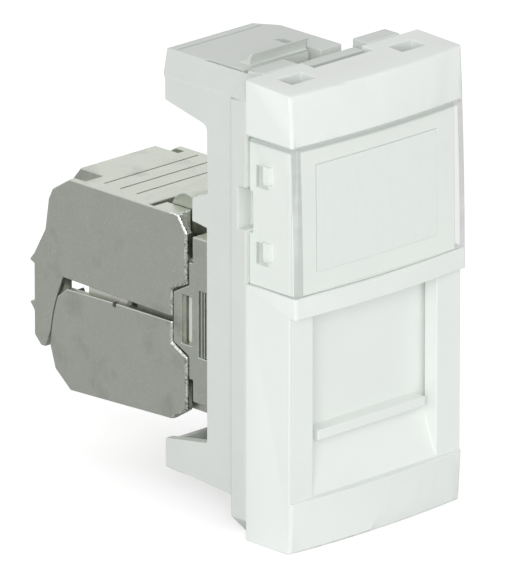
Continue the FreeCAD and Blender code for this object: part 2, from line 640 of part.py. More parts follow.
def make_front_cover():
    body = new_body("front_cover")
    height = size.module_height
    slope = size.top_draft / size.cover_depth
    front = -size.crown_reach
    domed_block(body, [
        (deep(front), up(0)),
        (deep(size.cover_depth), up(0)),
        (deep(size.cover_depth), up(height + size.top_draft)),
        (deep(front), up(height + slope * front)),
    ], size.cover_edge)
    rounded_end(body, "top_rounding", up(height - slope * size.crown_across), 1, size.cover_edge)
    rounded_end(body, "bottom_rounding", up(0), -1, size.cover_edge)
    wide = both(HALF_W + REACH)
    cut_box(body, "pillar_faces", wide, (deep(-REACH), deep(0)),
            (up(size.bottom_band_up), up(size.pillar_up)))
    cut(body, "recess", "YZ", [
        (deep(-REACH), up(size.bottom_band_up)),
        (deep(0), up(size.bottom_band_up),
         bow_radius((size.ramp_deep * size.ramp_deep + (size.ramp_up - size.bottom_band_up)
                     * (size.ramp_up - size.bottom_band_up)).root(), size.ramp_bow), 1),
        (deep(size.ramp_deep), up(size.ramp_up)),
        (deep(size.ramp_wall_deep + REACH), up(size.ramp_up)),
        (deep(size.ramp_wall_deep + REACH), up(size.pillar_up)),
        (deep(-REACH), up(size.pillar_up)),
    ], -size.recess_half, size.recess_half)
    inside_top = up(height - size.cover_top_wall)
    cut_box(body, "shutter_channel", both(size.channel_half),
            (deep(size.band_wall_deep), deep(size.ramp_wall_deep)), (up(size.ramp_up), inside_top))
    inner = HALF_W - size.cover_wall
    low, high = up(size.window_low_up), up(size.window_high_up)
    cut(body, "hollow", "XZ", [
        (-inner, up(size.cover_wall)), (inner, up(size.cover_wall)),
        (inner, low - size.cover_wall), (size.panel_inner_half, low - size.cover_wall),
        (size.panel_inner_half, high + size.cover_wall), (inner, high + size.cover_wall),
        (inner, inside_top), (-inner, inside_top),
        (-inner, high + size.cover_wall), (-size.panel_inner_half, high + size.cover_wall),
        (-size.panel_inner_half, low - size.cover_wall), (-inner, low - size.cover_wall),
    ], deep(size.ramp_wall_deep), deep(size.cover_depth + REACH))
    for side in (-1, 1):
        x = side_range(side, size.panel_half, HALF_W + REACH)
        cut_box(body, f"window_side_{side + 2}", x,
                (deep(-REACH), deep(size.cover_depth + REACH)), (low, high))
    cut_box(body, "window_front", wide, (deep(-REACH), deep(size.panel_deep)), (low, high))
    cut_box(body, "card_recess", both(size.card_half + size.seat_gap),
            (deep(0), deep(size.panel_deep + size.card_recess)),
            (up(size.card_low_up - size.seat_gap), up(size.card_high_up + size.seat_gap)))
    for side in (-1, 1):
        for number, clip_up in enumerate((size.clip_lower_up, size.clip_upper_up)):
            add_box(body, f"clip_{side + 2}_{number}",
                    side_range(side, size.panel_half, HALF_W - size.clip_play),
                    (deep(size.clip_front_deep + size.seat_gap), deep(size.clip_back_deep - size.clip_play)),
                    (up(clip_up + size.clip_play), up(clip_up + size.clip_height - size.seat_gap)))
    for side in (-1, 1):
        middle = size.hook_hole_at
        half = size.hook_hole_width / 2
        x = side_range(side, middle - half, middle + half)
        y = (deep(size.hook_hole_front), deep(size.hook_hole_back))
        cut_box(body, f"top_hole_{side + 2}", x, y, (inside_top - REACH / 4, up(height + REACH)))
        cut_box(body, f"bottom_hole_{side + 2}", x, (deep(size.ramp_wall_deep), y[1]),
                (up(-REACH), up(size.cover_wall + REACH / 6)))
    cut_box(body, "tongue_notch", both(size.tongue_notch_half),
            (deep(size.tongue_notch_deep), deep(size.cover_depth + REACH)),
            (inside_top - REACH / 4, up(height + REACH)))
    seat = up(size.spring_seat_up)
    add_box(body, "spring_seat", both(size.spring_seat_half),
            (deep(size.band_wall_deep), deep(size.foot_deep)), (seat, seat + size.spring_seat_thickness))
    add(body, "spring_peg", "XY", ((as_size(0), deep(size.spring_deep)), size.peg_radius),
        seat - size.peg_length, seat)
    return body


# The label window and its card

def make_label_window():
    body = new_body("label_window")
    low = up(size.window_low_up + size.window_gap)
    high = up(size.window_high_up - size.window_gap)
    domed_block(body, [
        (deep(-size.crown_reach), low),
        (deep(size.window_deep), low),
        (deep(size.window_deep), high),
        (deep(-size.crown_reach), high),
    ], size.window_edge)
    inner = HALF_W - size.window_wall
    inner_front = deep(size.window_wall - size.crown_along)
    rim = bow_radius(size.module_width, size.crown_across)
    cut(body, "inside", "XY", [
        (-inner, deep(size.window_deep + REACH)),
        (-inner, inner_front, rim, 1),
        (inner, inner_front),
        (inner, deep(size.window_deep + REACH)),
    ], low - REACH, high + REACH)
    for number, clip_up in enumerate((size.clip_lower_up, size.clip_upper_up)):
        cut_box(body, f"clip_hole_{number}", both(HALF_W + REACH),
                (deep(size.clip_front_deep), deep(size.clip_back_deep)),
                (up(clip_up), up(clip_up + size.clip_height)))
    cut_box(body, "pry_notch", side_range(-1, inner - REACH / 2, HALF_W + REACH),
            (deep(size.pry_deep), deep(size.window_deep + REACH)),
            (up(size.pry_low_up), up(size.pry_high_up)))
    return body


def make_label_card():
    body = new_body("label_card")
    back = deep(size.panel_deep + size.card_recess)
    add_box(body, "card", both(size.card_half), (back - size.card_thickness, back),
            (up(size.card_low_up), up(size.card_high_up)))
    return body


# The shutter and its spring

def make_shutter():
    body = new_body("shutter")
    low = up(size.ramp_up + size.seat_gap)
    back = size.shutter_deep + size.shutter_thickness
    add_box(body, "panel", both(size.shutter_half), (deep(size.shutter_deep), deep(back)),
            (low, up(size.shutter_high_up)))
    add_box(body, "lip", both(size.lip_half), (deep(size.lip_deep), deep(size.shutter_deep)),
            (low, up(size.lip_up)))
    dress(body, "Fillet", "lip_rounding", size.lip_edge,
          lambda edge: edge.BoundBox.YMax < deep(size.lip_deep + 0.01).value)
    foot_top = up(size.shutter_high_up)
    add_box(body, "foot", both(size.spring_seat_half), (deep(back), deep(size.foot_deep)),
            (foot_top - size.foot_thickness, foot_top))
    add(body, "peg", "XY", ((as_size(0), deep(size.spring_deep)), size.peg_radius),
        foot_top, foot_top + size.peg_length)
    return body


def make_shutter_spring():
    """A compression spring between the shutter's foot and the cover's rib."""
    low = up(size.shutter_high_up + size.spring_wire / 2)
    high = up(size.spring_seat_up - size.spring_wire / 2)
    radius, wire, turns = size.spring_radius.value, size.spring_wire.value, size.spring_turns.value
    steps = int(turns * SPRING_RUNS)
    points = [FreeCAD.Vector(radius * math.cos(k * math.tau / SPRING_RUNS),
                             radius * math.sin(k * math.tau / SPRING_RUNS),
                             (high - low).value * k / steps) for k in range(steps + 1)]
    path = Part.makePolygon(points)
    along = points[1] - points[0]
    across = FreeCAD.Vector(-along.y, along.x, 0).normalize() * (wire / 2)
    upright = across.cross(along).normalize() * (wire / 2)
    corners = [points[0] + across, points[0] + upright, points[0] - across, points[0] - upright]
    profile = Part.makePolygon(corners + corners[:1])
    feature = doc.addObject("Part::Feature", "shutter_spring")
    feature.Shape = Part.Wire(path).makePipeShell([profile], True, False, 1)
    feature.Placement = FreeCAD.Placement(FreeCAD.Vector(0, deep(size.spring_deep).value, low.value),
                                          FreeCAD.Rotation())
    return feature


# The carrier

def make_carrier_frame():
    body = new_body("carrier_frame")
    height = size.module_height
    corner = size.flange_corner
    back = as_size(0)
    add(body, "flange", "XZ", [
        (-HALF_W + corner, up(0)), (HALF_W - corner, up(0)),
        (HALF_W, up(corner)), (HALF_W, up(height - corner)),
        (HALF_W - corner, up(height)), (-HALF_W + corner, up(height)),
        (-HALF_W, up(height - corner)), (-HALF_W, up(corner)),
    ], deep(size.cover_depth), back)
    tip_top = size.arm_tip_up + size.arm_tip_height
    foot_slope = (size.collar_low_up - size.foot_arm_tip_up) / (size.foot_arm_tip_deep - size.collar_deep)
    arm_slope = (size.arm_tip_up - size.collar_high_up) / (size.arm_tip_deep - size.collar_deep)
    add(body, "collar", "YZ", [
        (back, up(size.foot_arm_low_up)),
        (deep(size.foot_arm_tip_deep), up(size.foot_arm_tip_low_up)),
        (deep(size.foot_arm_tip_deep), up(size.foot_arm_tip_up)),
        (deep(size.collar_deep + size.foot_round), up(size.collar_low_up - foot_slope * size.foot_round),
         size.foot_round, -1),
        (deep(size.collar_deep), up(size.collar_low_up + size.foot_round)),
        (deep(size.collar_deep), up(size.collar_high_up - size.collar_round),
         size.collar_round * CORNER_EASE, -1),
        (deep(size.collar_deep + size.collar_round), up(size.collar_high_up + arm_slope * size.collar_round)),
        (deep(size.arm_tip_deep), up(size.arm_tip_up)),
        (deep(size.arm_tip_deep), up(tip_top)),
        (deep(size.arm_lean_deep), up(size.arm_top_up)),
        (back, up(size.arm_top_up)),
    ], -size.collar_half, size.collar_half)
    rim_x, rim_z = size.collar_half - size.arm_bevel, up(size.arm_top_up)
    for side in (-1, 1):
        cut(body, f"arm_bevel_{side + 2}", "XZ", [
            (rim_x * side, rim_z), ((rim_x + REACH) * side, rim_z), ((rim_x + REACH) * side, rim_z - REACH),
        ], back, deep(size.arm_lean_deep + REACH))
    inner = size.collar_half - size.collar_wall
    arm_low = up(size.arm_tip_up + size.arm_wall)
    floor = up(size.foot_arm_low_up + size.arm_wall)
    cut_box(body, "between_arms", both(inner), (back, deep(size.collar_deep)),
            (floor, up(size.collar_high_up - size.arm_wall)))
    foot_inner = size.collar_half - size.foot_arm_wall
    bar_back = size.foot_bar_deep + size.foot_bar_thickness
    cut_box(body, "foot_hollow", both(foot_inner),
            (deep(size.collar_deep) - OVERLAP, deep(size.foot_bar_deep)),
            (floor, up(size.collar_high_up - size.arm_wall)))
    cut_box(body, "foot_end", both(foot_inner), (deep(bar_back), deep(size.foot_arm_tip_deep + REACH)),
            (up(0), up(size.collar_high_up - size.arm_wall)))
    plate_right = size.arm_plate_right
    cut_box(body, "upper_arm_hollow", (-inner, plate_right - size.arm_wall),
            (back, deep(size.arm_tip_deep - size.arm_wall)),
            (up(size.collar_high_up - size.arm_wall) - OVERLAP, up(size.arm_top_up - size.arm_wall)))
    cut_box(body, "arm_right_side", (plate_right, HALF_W + REACH),
            (back, deep(size.arm_lean_deep + REACH)),
            (up(size.collar_high_up), up(size.arm_top_up + REACH)))
    cut(body, "arm_corner", "XY", [
        (plate_right - size.arm_corner, deep(size.arm_lean_deep) + size.arm_corner_play),
        (plate_right, deep(size.arm_lean_deep) - size.arm_corner_long),
        (plate_right + REACH, deep(size.arm_lean_deep) - size.arm_corner_long),
        (plate_right + REACH, deep(size.arm_lean_deep) + REACH),
        (plate_right - size.arm_corner, deep(size.arm_lean_deep) + REACH),
    ], up(size.collar_high_up), up(size.arm_top_up + REACH))
    cradle = size.shell_half + size.insert_play
    hole_low = up(size.shell_low_up - size.insert_play)
    hole_high = up(size.shell_high_up + size.insert_play)
    add_box(body, "cradle", both(cradle + size.cradle_wall), (back, deep(size.cradle_deep)),
            (hole_low - size.cradle_wall, hole_high + size.cradle_wall))
    cut_box(body, "jack_opening", both(cradle),
            (deep(-REACH), deep(size.cradle_deep + REACH)), (hole_low, hole_high))
    for side in (-1, 1):
        add_box(body, f"rail_{side + 2}",
                side_range(side, cradle + size.insert_play, cradle + size.insert_play + size.rail_width),
                (deep(size.ramp_wall_deep + size.seat_gap), deep(size.cover_depth)),
                (up(size.ramp_up), up(size.window_high_up)))
        half = size.hook_hole_width / 2 - size.hook_side_play
        x = side_range(side, size.hook_hole_at - half, size.hook_hole_at + half)
        inside_top = up(height - size.cover_top_wall) - size.seat_gap
        inside_low = up(size.cover_wall) + size.seat_gap
        front = deep(size.ramp_wall_deep + size.insert_play)
        catch = deep(size.hook_hole_back - size.hook_catch_play)
        add(body, f"top_hook_{side + 2}", "YZ", [
            (front, inside_top - size.hook_thickness),
            (deep(size.cover_depth), inside_top - size.hook_thickness),
            (deep(size.cover_depth), inside_top),
            (catch, inside_top),
            (catch, inside_top + size.hook_nose),
            (front, inside_top),
        ], x[0], x[1])
        add(body, f"bottom_hook_{side + 2}", "YZ", [
            (front, inside_low + size.hook_thickness),
            (front, inside_low),
            (catch, inside_low - size.hook_nose),
            (catch, inside_low),
            (deep(size.cover_depth), inside_low),
            (deep(size.cover_depth), inside_low + size.hook_thickness),
        ], x[0], x[1])
    for side, inner_end in ((-1, -size.tab_left), (1, size.tab_right)):
        add_box(body, f"top_tab_{side + 2}", side_range(side, inner_end, size.tab_reach),
                (deep(size.cover_depth), back), (up(height - corner), up(height + size.tab_rise)))
    cut_box(body, "tab_gap", (size.tab_left, size.tab_right), (deep(size.cover_depth), back),
            (up(size.tab_gap_up), up(height + REACH)))
    add_box(body, "latch_bar", both(size.latch_bar_half),
            (deep(size.latch_bar_front), deep(size.latch_bar_back)),
            (up(size.tab_gap_up - size.arm_wall / 2), up(height)))
    cut_box(body, "pry_slot", side_range(-1, HALF_W - size.pry_slot_depth, HALF_W + REACH),
            (deep(size.cover_depth), deep(size.cover_depth + size.flange_thickness / 2)),
            (up(size.pry_low_up), up(size.pry_high_up)))
    add(body, "stay", "YZ", [
        (deep(size.collar_deep), up(size.stay_low_up)),
        (deep(size.stay_deep), up(size.stay_low_up)),
        (deep(size.stay_deep), up(size.stay_tip_up)),
        (deep(size.collar_deep), up(size.stay_high_up)),
    ], -size.collar_half, -inner)
    make_release_tongue(body)
    return body


def make_release_tongue(body):
    """Frees the springy tongue in the upper arm's plate and gives it its finger lip."""
    top = up(size.arm_top_up)
    through = (top - size.arm_wall - size.seat_gap, top + REACH)
    root = deep(size.tongue_root_deep)
    front = deep(size.tongue_front_deep)
    left = size.tongue_left
    cut_box(body, "tongue_front", (left - size.tongue_left_slit, as_size(0)), (as_size(0), front), through)
    cut_box(body, "plate_front", (as_size(0), size.arm_plate_right),
            (as_size(0), deep(size.plate_front_deep)), (up(size.tab_gap_up), top + REACH))
    cut_box(body, "left_slit", (left - size.tongue_left_slit, left), (front, root), through)
    cut_box(body, "right_slit", (as_size(0), size.tongue_right_slit), (as_size(0), root), through)
    crest = up(size.finger_lip_up)
    drop = size.arm_wall / 2
    add(body, "finger_lip", "YZ", [
        (front, top - drop),
        (front + size.finger_lip_hollow, top - drop),
        (front + size.finger_lip_slope, top - drop),
        (front + size.finger_lip_slope, top),
        (front + size.finger_lip_slope * 0.45, top + (crest - top) * 0.3),
        (front + size.finger_lip_edge, crest),
        (front, crest),
        (front + size.finger_lip_hollow * 0.8, top + (crest - top) * 0.55),
        (front + size.finger_lip_hollow, top + (crest - top) * 0.1),
        (front + size.finger_lip_hollow * 0.6, top - drop / 2),
    ], size.finger_lip_left, as_size(0))
    cut_box(body, "arm_groove", (-size.collar_half + size.arm_bevel + size.arm_groove_width,
                                 size.arm_plate_right - size.arm_corner + size.arm_groove_width),
            (deep(size.arm_groove_deep), deep(size.arm_groove_deep + size.arm_groove_width)),
            (top - size.arm_groove_depth, top + REACH))


# The jack's shell

def make_jack_shell():
    body = new_body("jack_shell")
    add(body, "casting", "YZ", [
        (deep(size.shell_front_deep), up(size.shell_low_up)),
        (deep(size.shell_block_deep), up(size.shell_low_up)),
        (deep(size.shell_block_deep), up(size.shell_plate_low_up)),
        (deep(size.shell_plate_deep), up(size.shell_plate_low_up)),
        (deep(size.shell_plate_deep), up(size.ear_low_up - size.ear_chin)),
        (deep(size.ear_deep), up(size.ear_low_up)),
        (deep(size.ear_deep), up(size.ear_high_up)),
        (deep(size.shell_plate_deep), up(size.ear_high_up + size.ear_brow)),
        (deep(size.shell_plate_deep), up(size.shell_plate_high_up)),
        (deep(size.shell_block_deep), up(size.shell_plate_high_up)),
        (deep(size.shell_block_deep), up(size.shell_high_up)),
        (deep(size.shell_step_deep), up(size.shell_high_up)),
        (deep(size.shell_step_deep), up(size.shell_step_up)),
        (deep(size.shell_front_deep), up(size.shell_step_up)),
    ], -size.shell_half, size.shell_half)
    inner = size.shell_half - size.shell_wall
    low, high = up(size.shell_low_up + size.shell_wall), up(size.shell_high_up - size.shell_wall)
    step = up(size.shell_step_up - size.shell_wall)
    cut(body, "cavity", "YZ", [
        (deep(size.shell_front_deep - REACH), low),
        (deep(size.ear_deep + REACH), low),
        (deep(size.ear_deep + REACH), high),
        (deep(size.shell_step_deep + size.shell_wall), high),
        (deep(size.shell_step_deep + size.shell_wall), step),
        (deep(size.shell_front_deep - REACH), step),
    ], -inner, inner)
    cut_box(body, "ear_slots", both(size.shell_half + REACH),
            (deep(size.ear_slot_front), deep(size.ear_slot_back)),
            (up(size.ear_slot_low_up), up(size.ear_slot_high_up)))
    for side in (-1, 1):
        x = side_range(side, size.shell_half - size.grip_depth, size.shell_half + REACH)
        cut_box(body, f"grip_{side + 2}", x, (deep(size.grip_front), deep(size.grip_back)),
                (up(size.grip_low_up), up(size.grip_high_up)))
    barrel = size.barrel_radius
    centre_y, centre_z = deep(size.upper_pin_deep), up(size.upper_pin_up)
    half, tall = barrel / 2, barrel * (as_size(3).root() / 2)
    base = up(size.shell_high_up - size.shell_wall)
    add(body, "upper_barrel", "YZ", [
        (deep(size.lug_front_deep), base),
        (deep(size.lug_front_deep), up(size.shell_high_up)),
        (deep(size.shell_block_deep) - size.shell_wall, up(size.shell_high_up)),
        (centre_y - tall, centre_z + half, barrel, -1),
        (centre_y + half, centre_z + tall, barrel, -1),
        (centre_y + tall, centre_z - half, barrel, -1),
        (centre_y - half, centre_z - tall),
        (deep(size.shell_block_deep), base),
    ], -size.barrel_half, size.barrel_half)
    eye = size.pin_radius + size.pin_play
    cut(body, "upper_eye", "YZ", ((centre_y, centre_z), eye), -size.barrel_half, size.barrel_half)
    reach = size.lug_radius
    centre_y, centre_z = deep(size.lower_pin_deep), up(size.lower_pin_up)
    base = up(size.shell_low_up + size.shell_wall)
    for side in (-1, 1):
        x = side_range(side, size.lug_inner, size.lug_outer)
        add(body, f"lower_lug_{side + 2}", "YZ", [
            (deep(size.lug_front_deep), base),
            (deep(size.lug_front_deep), centre_z - reach),
            (centre_y, centre_z - reach, reach, 1),
            (centre_y + reach, centre_z, reach, 1),
            (centre_y, centre_z + reach),
            (deep(size.shell_block_deep), centre_z + reach),
            (deep(size.shell_block_deep), base),
        ], x[0], x[1])
        cut(body, f"lower_eye_{side + 2}", "YZ", ((centre_y, centre_z), eye), x[0], x[1])
    return body


def make_hinge_pin(name, pin_deep, pin_up):
    body = new_body(name)
    add(body, "pin", "YZ", ((deep(pin_deep), up(pin_up)), size.pin_radius), -size.pin_half, size.pin_half)
    return body


# The port and the parts inside the shell

def make_port_insert():
    body = new_body("port_insert")
    half = size.shell_half - size.shell_wall - size.insert_play
    low = up(size.shell_low_up + size.shell_wall + size.insert_play)
    step = up(size.shell_step_up - size.shell_wall - size.insert_play)
    high = up(size.shell_high_up - size.shell_wall - size.insert_play)
    front = deep(size.shell_front_deep)
    add(body, "block", "YZ", [
        (front, low), (deep(size.insert_deep), low), (deep(size.insert_deep), high),
        (deep(size.shell_step_deep + size.shell_wall + size.insert_play), high),
        (deep(size.shell_step_deep + size.shell_wall + size.insert_play), step),
        (front, step),
    ], -half, half)
    port_end = deep(size.port_end_deep)
    cut_box(body, "port", both(size.port_half), (front - REACH, port_end),
            (up(size.port_low_up), up(size.port_high_up)))
    cut_box(body, "latch_channel", both(size.latch_half), (front - REACH, port_end),
            (up(size.latch_low_up), up(size.port_low_up + OVERLAP)))
    play = size.insert_play
    cut_box(body, "shield_windows", both(half + REACH),
            (deep(size.shield_front_deep) - play, deep(size.shield_back_deep) + play),
            (up(size.shield_low_up) - play, up(size.shield_high_up) + play))
    roof = up(size.port_high_up)
    middle = -size.contact_pitch * (size.contact_count - 1) / 2
    slot = cut_box(body, "contact_slot", (middle - size.contact_slot / 2, middle + size.contact_slot / 2),
                   (deep(size.contact_front_deep - size.contact_slot_play), deep(size.insert_deep + REACH)),
                   (roof - OVERLAP, roof + size.contact_rise + size.contact_wire))
    repeat(body, "contact_slots", [slot], "X", size.contact_pitch, size.contact_count)
    return body


def make_shield_springs():
    """Two bowed strips that touch the shield of the plug."""
    body = new_body("shield_springs")
    wall = size.shell_half - size.shell_wall - size.seat_gap
    strip = size.shield_strip
    front, back = deep(size.shield_front_deep), deep(size.shield_back_deep)
    top = (front + back) / 2
    for side in (-1, 1):
        foot, peak = wall * side, (wall - size.shield_bulge) * side
        add(body, f"spring_{side + 2}", "XY", [
            (foot, front), (foot, front + strip * 2), (peak + strip * side, top - strip),
            (peak + strip * side, top + strip), (foot, back - strip * 2), (foot, back),
            (foot - strip * side, back), (peak, top + strip), (peak, top - strip),
            (foot - strip * side, front),
        ], up(size.shield_low_up), up(size.shield_high_up))
    return body


def make_port_contacts():
    body = new_body("port_contacts")
    wire = size.contact_wire
    leg = up(size.port_high_up) + size.contact_rise
    front = deep(size.contact_front_deep)
    tip_y, tip_z = deep(size.contact_tip_deep), up(size.contact_tip_up)
    middle = -size.contact_pitch * (size.contact_count - 1) / 2
    spring = add(body, "contact", "YZ", [
        (front, leg),
        (deep(size.insert_deep), leg),
        (deep(size.insert_deep), leg - wire),
        (front + 2 * wire, leg - wire),
        (tip_y, tip_z - wire / 2),
        (tip_y - wire / 2, tip_z - wire * 1.5),
        (front, leg - 1.2 * wire),
    ], middle - wire / 2, middle + wire / 2)
    repeat(body, "contacts", [spring], "X", size.contact_pitch, size.contact_count)
    return body


def make_contact_board():
    body = new_body("contact_board")
    half = size.shell_half - size.shell_wall - size.board_margin
    low = up(size.shell_low_up + size.shell_wall + size.board_margin)
    high = up(size.shell_high_up - size.shell_wall - size.board_margin)
    add_box(body, "board", both(half),
            (deep(size.insert_deep), deep(size.insert_deep + size.board_thickness)), (low, high))
    return body


def make_terminal_block():
    body = new_body("terminal_block")
    front = deep(size.insert_deep + size.board_thickness)
    half = size.shell_half - size.shell_wall - size.insert_play
    low, high = up(size.block_low_up), up(size.block_high_up)
    add_box(body, "core", both(size.block_half), (front, deep(size.block_deep)), (low, high))
    add_box(body, "flange", both(half), (front, deep(size.block_flange_deep)),
            (up(size.shell_plate_low_up), up(size.shell_plate_high_up)))
    dress(body, "Chamfer", "nose", 2 * size.shell_wall,
          lambda edge: near(edge.BoundBox.YMin, deep(size.block_deep)) and edge.BoundBox.XLength > REACH)
    return body


def make_terminal_blades(name, base, sign):
    """A row of forked blades that cut into the wires."""
    body = new_body(name)
    row = -size.blade_pitch * (size.blade_count - 1) / 2
    front = deep(size.blade_deep)
    mid = front + size.blade_width / 2
    top = base + size.blade_height * sign
    tine = size.blade_slot / 2
    corner, mouth = size.blade_corner, size.blade_mouth
    blade = add(body, "blade", "YZ", [
        (front, base), (front, top - corner * sign), (front + corner, top),
        (mid - tine * 2, top), (mid - tine, top - mouth * sign),
        (mid - tine, base + size.blade_slot * sign), (mid + tine, base + size.blade_slot * sign),
        (mid + tine, top - mouth * sign), (mid + tine * 2, top),
        (front + size.blade_width - corner, top), (front + size.blade_width, top - corner * sign),
        (front + size.blade_width, base),
    ], row - size.blade_thickness / 2, row + size.blade_thickness / 2)
    repeat(body, "blades", [blade], "X", size.blade_pitch, size.blade_count)
    return body


# The flaps

def make_upper_flap():
    body = new_body("upper_flap")
    top = up(size.flap_top_up)
    strap_front = deep(size.strap_front_deep)
    strap_back = strap_front + size.strap_thickness
    barb = deep(size.barb_deep)
    pin = (size.upper_pin_deep, size.upper_pin_up)
    arc_low_up = size.lower_pin_up + size.strap_arc_low
    reach = size.lower_reach + size.insert_play
    lower_pin = (deep(size.lower_pin_deep), up(size.lower_pin_up))

    def strap_edge(height):
        rise = up(height) - lower_pin[1]
        return lower_pin[0] + (reach * reach - rise * rise).root()

    strap_top = size.cable_up - size.strap_arc_high
    shoulder = deep(size.upper_slope_deep)
    catch = size.barb_catch
    slope = size.barb_slope
    add(body, "casting", "YZ", [
        (deep(size.upper_brow_deep), top),
        (shoulder, top),
        (shoulder + size.shoulder_run, top - size.shoulder_fall),
        (shoulder + size.shoulder_bend_run, top - size.shoulder_bend_fall),
        (shoulder + size.shoulder_foot_run, top - size.shoulder_foot_fall),
        (strap_back, up(size.barb_upper_up + slope)),
        (barb, up(size.barb_upper_up)),
        (strap_back, up(size.barb_upper_up - catch)),
        (strap_back, up(size.barb_lower_up + catch)),
        (barb, up(size.barb_lower_up)),
        (strap_back, up(size.barb_lower_up - slope)),
        (strap_back, up(size.strap_low_up + size.strap_toe)),
        (strap_back - size.strap_toe, up(size.strap_low_up)),
        (strap_front + size.strap_heel, up(size.strap_low_up)),
        (strap_edge(arc_low_up), up(arc_low_up), reach, 1),
        (strap_edge(strap_top), up(strap_top)),
        (shoulder + size.upper_low_run, up(size.upper_low_back_up)),
        (deep(size.flap_nose_deep), up(size.upper_low_front_up)),
        (deep(size.flap_nose_deep), up(size.upper_nose_up)),
        (deep(size.upper_front_deep), up(size.upper_foot_up)),
        (deep(size.upper_front_deep - size.front_lean), top - size.upper_brow_drop),
    ], -size.shell_half, size.shell_half)
    inner = size.shell_half - size.shell_wall
    rear = strap_front - size.rear_wall
    cut(body, "inside", "YZ", [
        (deep(0), up(0)), (strap_front, up(0)),
        (strap_front, up(size.upper_foot_up)),
        (rear, top - size.inside_fall),
        (shoulder - size.inside_run, top - size.flap_skin),
        (deep(0), top - size.flap_skin),
    ], -inner, inner)
    cut(body, "cable_way", "XZ", [
        (-size.cable_radius, up(0)), (size.cable_radius, up(0)),
        (size.cable_radius, up(size.cable_up), size.cable_radius, 1),
        (as_size(0), up(size.cable_up) + size.cable_radius, size.cable_radius, 1),
        (-size.cable_radius, up(size.cable_up)),
    ], rear - REACH, barb + REACH)
    skin = (top - size.flap_skin - size.insert_play, top + REACH)
    gap = size.barrel_half + size.insert_play
    bridge = deep(size.bridge_deep)
    add(body, "bridge", "YZ", [
        (shoulder - size.flap_skin, top - size.flap_skin),
        (bridge, top - 2 * size.flap_skin),
        (bridge + size.rear_wall, top - 2 * size.flap_skin),
        (bridge + size.rear_wall, top - size.rear_wall * 1.2),
        (bridge, top),
        (shoulder - size.flap_skin, top),
    ], size.bridge_left, size.bridge_right)
    bay = (deep(size.bay_deep), deep(size.bay_back_deep))
    floor = (top - size.bay_depth, top + REACH)
    cut_box(body, "left_bay", (-inner, size.bridge_left), bay, floor)
    cut_box(body, "right_bay", (size.bridge_right, inner), bay, floor)
    cut_box(body, "barrel_gap", both(gap), (deep(0), deep(size.top_plate_deep)), skin)
    for side in (-1, 1):
        add_box(body, f"boss_{side + 2}", side_range(side, gap, size.shell_half - size.rim_thickness),
                (deep(size.boss_front_deep), deep(size.boss_back_deep)), (up(size.boss_low_up), top))
        cut_box(body, f"brow_gap_{side + 2}", side_range(side, gap, inner),
                (deep(0), deep(size.boss_front_deep)), skin)
        cut_box(body, f"slot_{side + 2}", side_range(side, gap, size.shell_half - size.rim_thickness),
                (deep(size.boss_back_deep), deep(size.top_plate_deep)), skin)
    pin_end = size.pin_half + size.seat_gap
    cut(body, "eyes", "YZ", ((deep(pin[0]), up(pin[1])), size.pin_radius + size.pin_play),
        -pin_end, pin_end)
    for number in range(GROOVES):
        start = deep(size.flap_groove_deep) + size.flap_groove_pitch * number
        cut_box(body, f"groove_{number}", (-size.flap_groove_half, inner),
                (start, start + size.flap_groove_width), (top - size.flap_groove_depth, top + REACH))
    return body


def make_lower_flap():
    body = new_body("lower_flap")
    floor = up(size.lower_floor_up)
    pin = (deep(size.lower_pin_deep), up(size.lower_pin_up))
    reach = size.lower_reach

    def rear_edge(height):
        rise = as_size(height) - size.lower_pin_up
        return pin[0] + (reach * reach - rise * rise).root()

    arc_low = size.lower_pin_up + size.lower_arc_low
    arc_high = size.lower_top_back_up - size.lower_arc_high
    slope = deep(size.upper_slope_deep)
    add(body, "casting", "YZ", [
        (deep(size.flap_nose_deep), floor + size.floor_rise),
        (slope, floor),
        (slope + size.lower_heel_run, floor + size.lower_heel_rise),
        (rear_edge(arc_low), up(arc_low), reach, 1),
        (rear_edge(arc_high), up(arc_high)),
        (slope + size.lower_top_run, up(size.lower_top_back_up)),
        (deep(size.flap_nose_deep + size.lower_nose_bevel), up(size.lower_top_front_up)),
        (deep(size.flap_nose_deep), up(size.lower_top_front_up - size.lower_nose_bevel)),
        (deep(size.flap_nose_deep), up(size.lower_nose_up)),
        (deep(size.lower_front_deep), up(size.lower_nose_up - size.lower_nose_fall)),
        (deep(size.lower_front_deep - size.front_lean), floor + size.lower_chin_rise),
    ], -size.shell_half, size.shell_half)
    inner = size.shell_half - size.shell_wall
    wall = rear_edge(arc_low) - size.rear_wall
    cut(body, "inside", "YZ", [
        (deep(0), floor + size.flap_skin + size.floor_rise),
        (deep(size.flap_nose_deep), floor + size.flap_skin + size.floor_rise),
        (slope - size.lower_inside_run, floor + size.flap_skin),
        (wall, floor + size.lower_inside_rise),
        (wall, up(size.module_height)),
        (deep(0), up(size.module_height)),
    ], -inner, inner)
    cut(body, "cable_way", "XZ", ((as_size(0), up(size.cable_up)), size.cable_radius),
        wall - REACH, wall + 2 * REACH)
    for side in (-1, 1):
        cut_box(body, f"lug_gap_{side + 2}", side_range(side, size.lug_inner - size.lug_play, inner),
                (deep(0), deep(size.knuckle_gap_deep)), (floor - REACH, floor + REACH))
    pin_end = size.pin_half + size.seat_gap
    cut(body, "eyes", "YZ", (pin, size.pin_radius + size.pin_play), -pin_end, pin_end)
    nick = deep(size.nick_deep)
    cut_box(body, "nicks", both(size.shell_half + REACH), (nick, nick + size.nick_width),
            (up(size.lower_top_back_up - size.nick_depth / 2), up(size.module_height)))
    return body


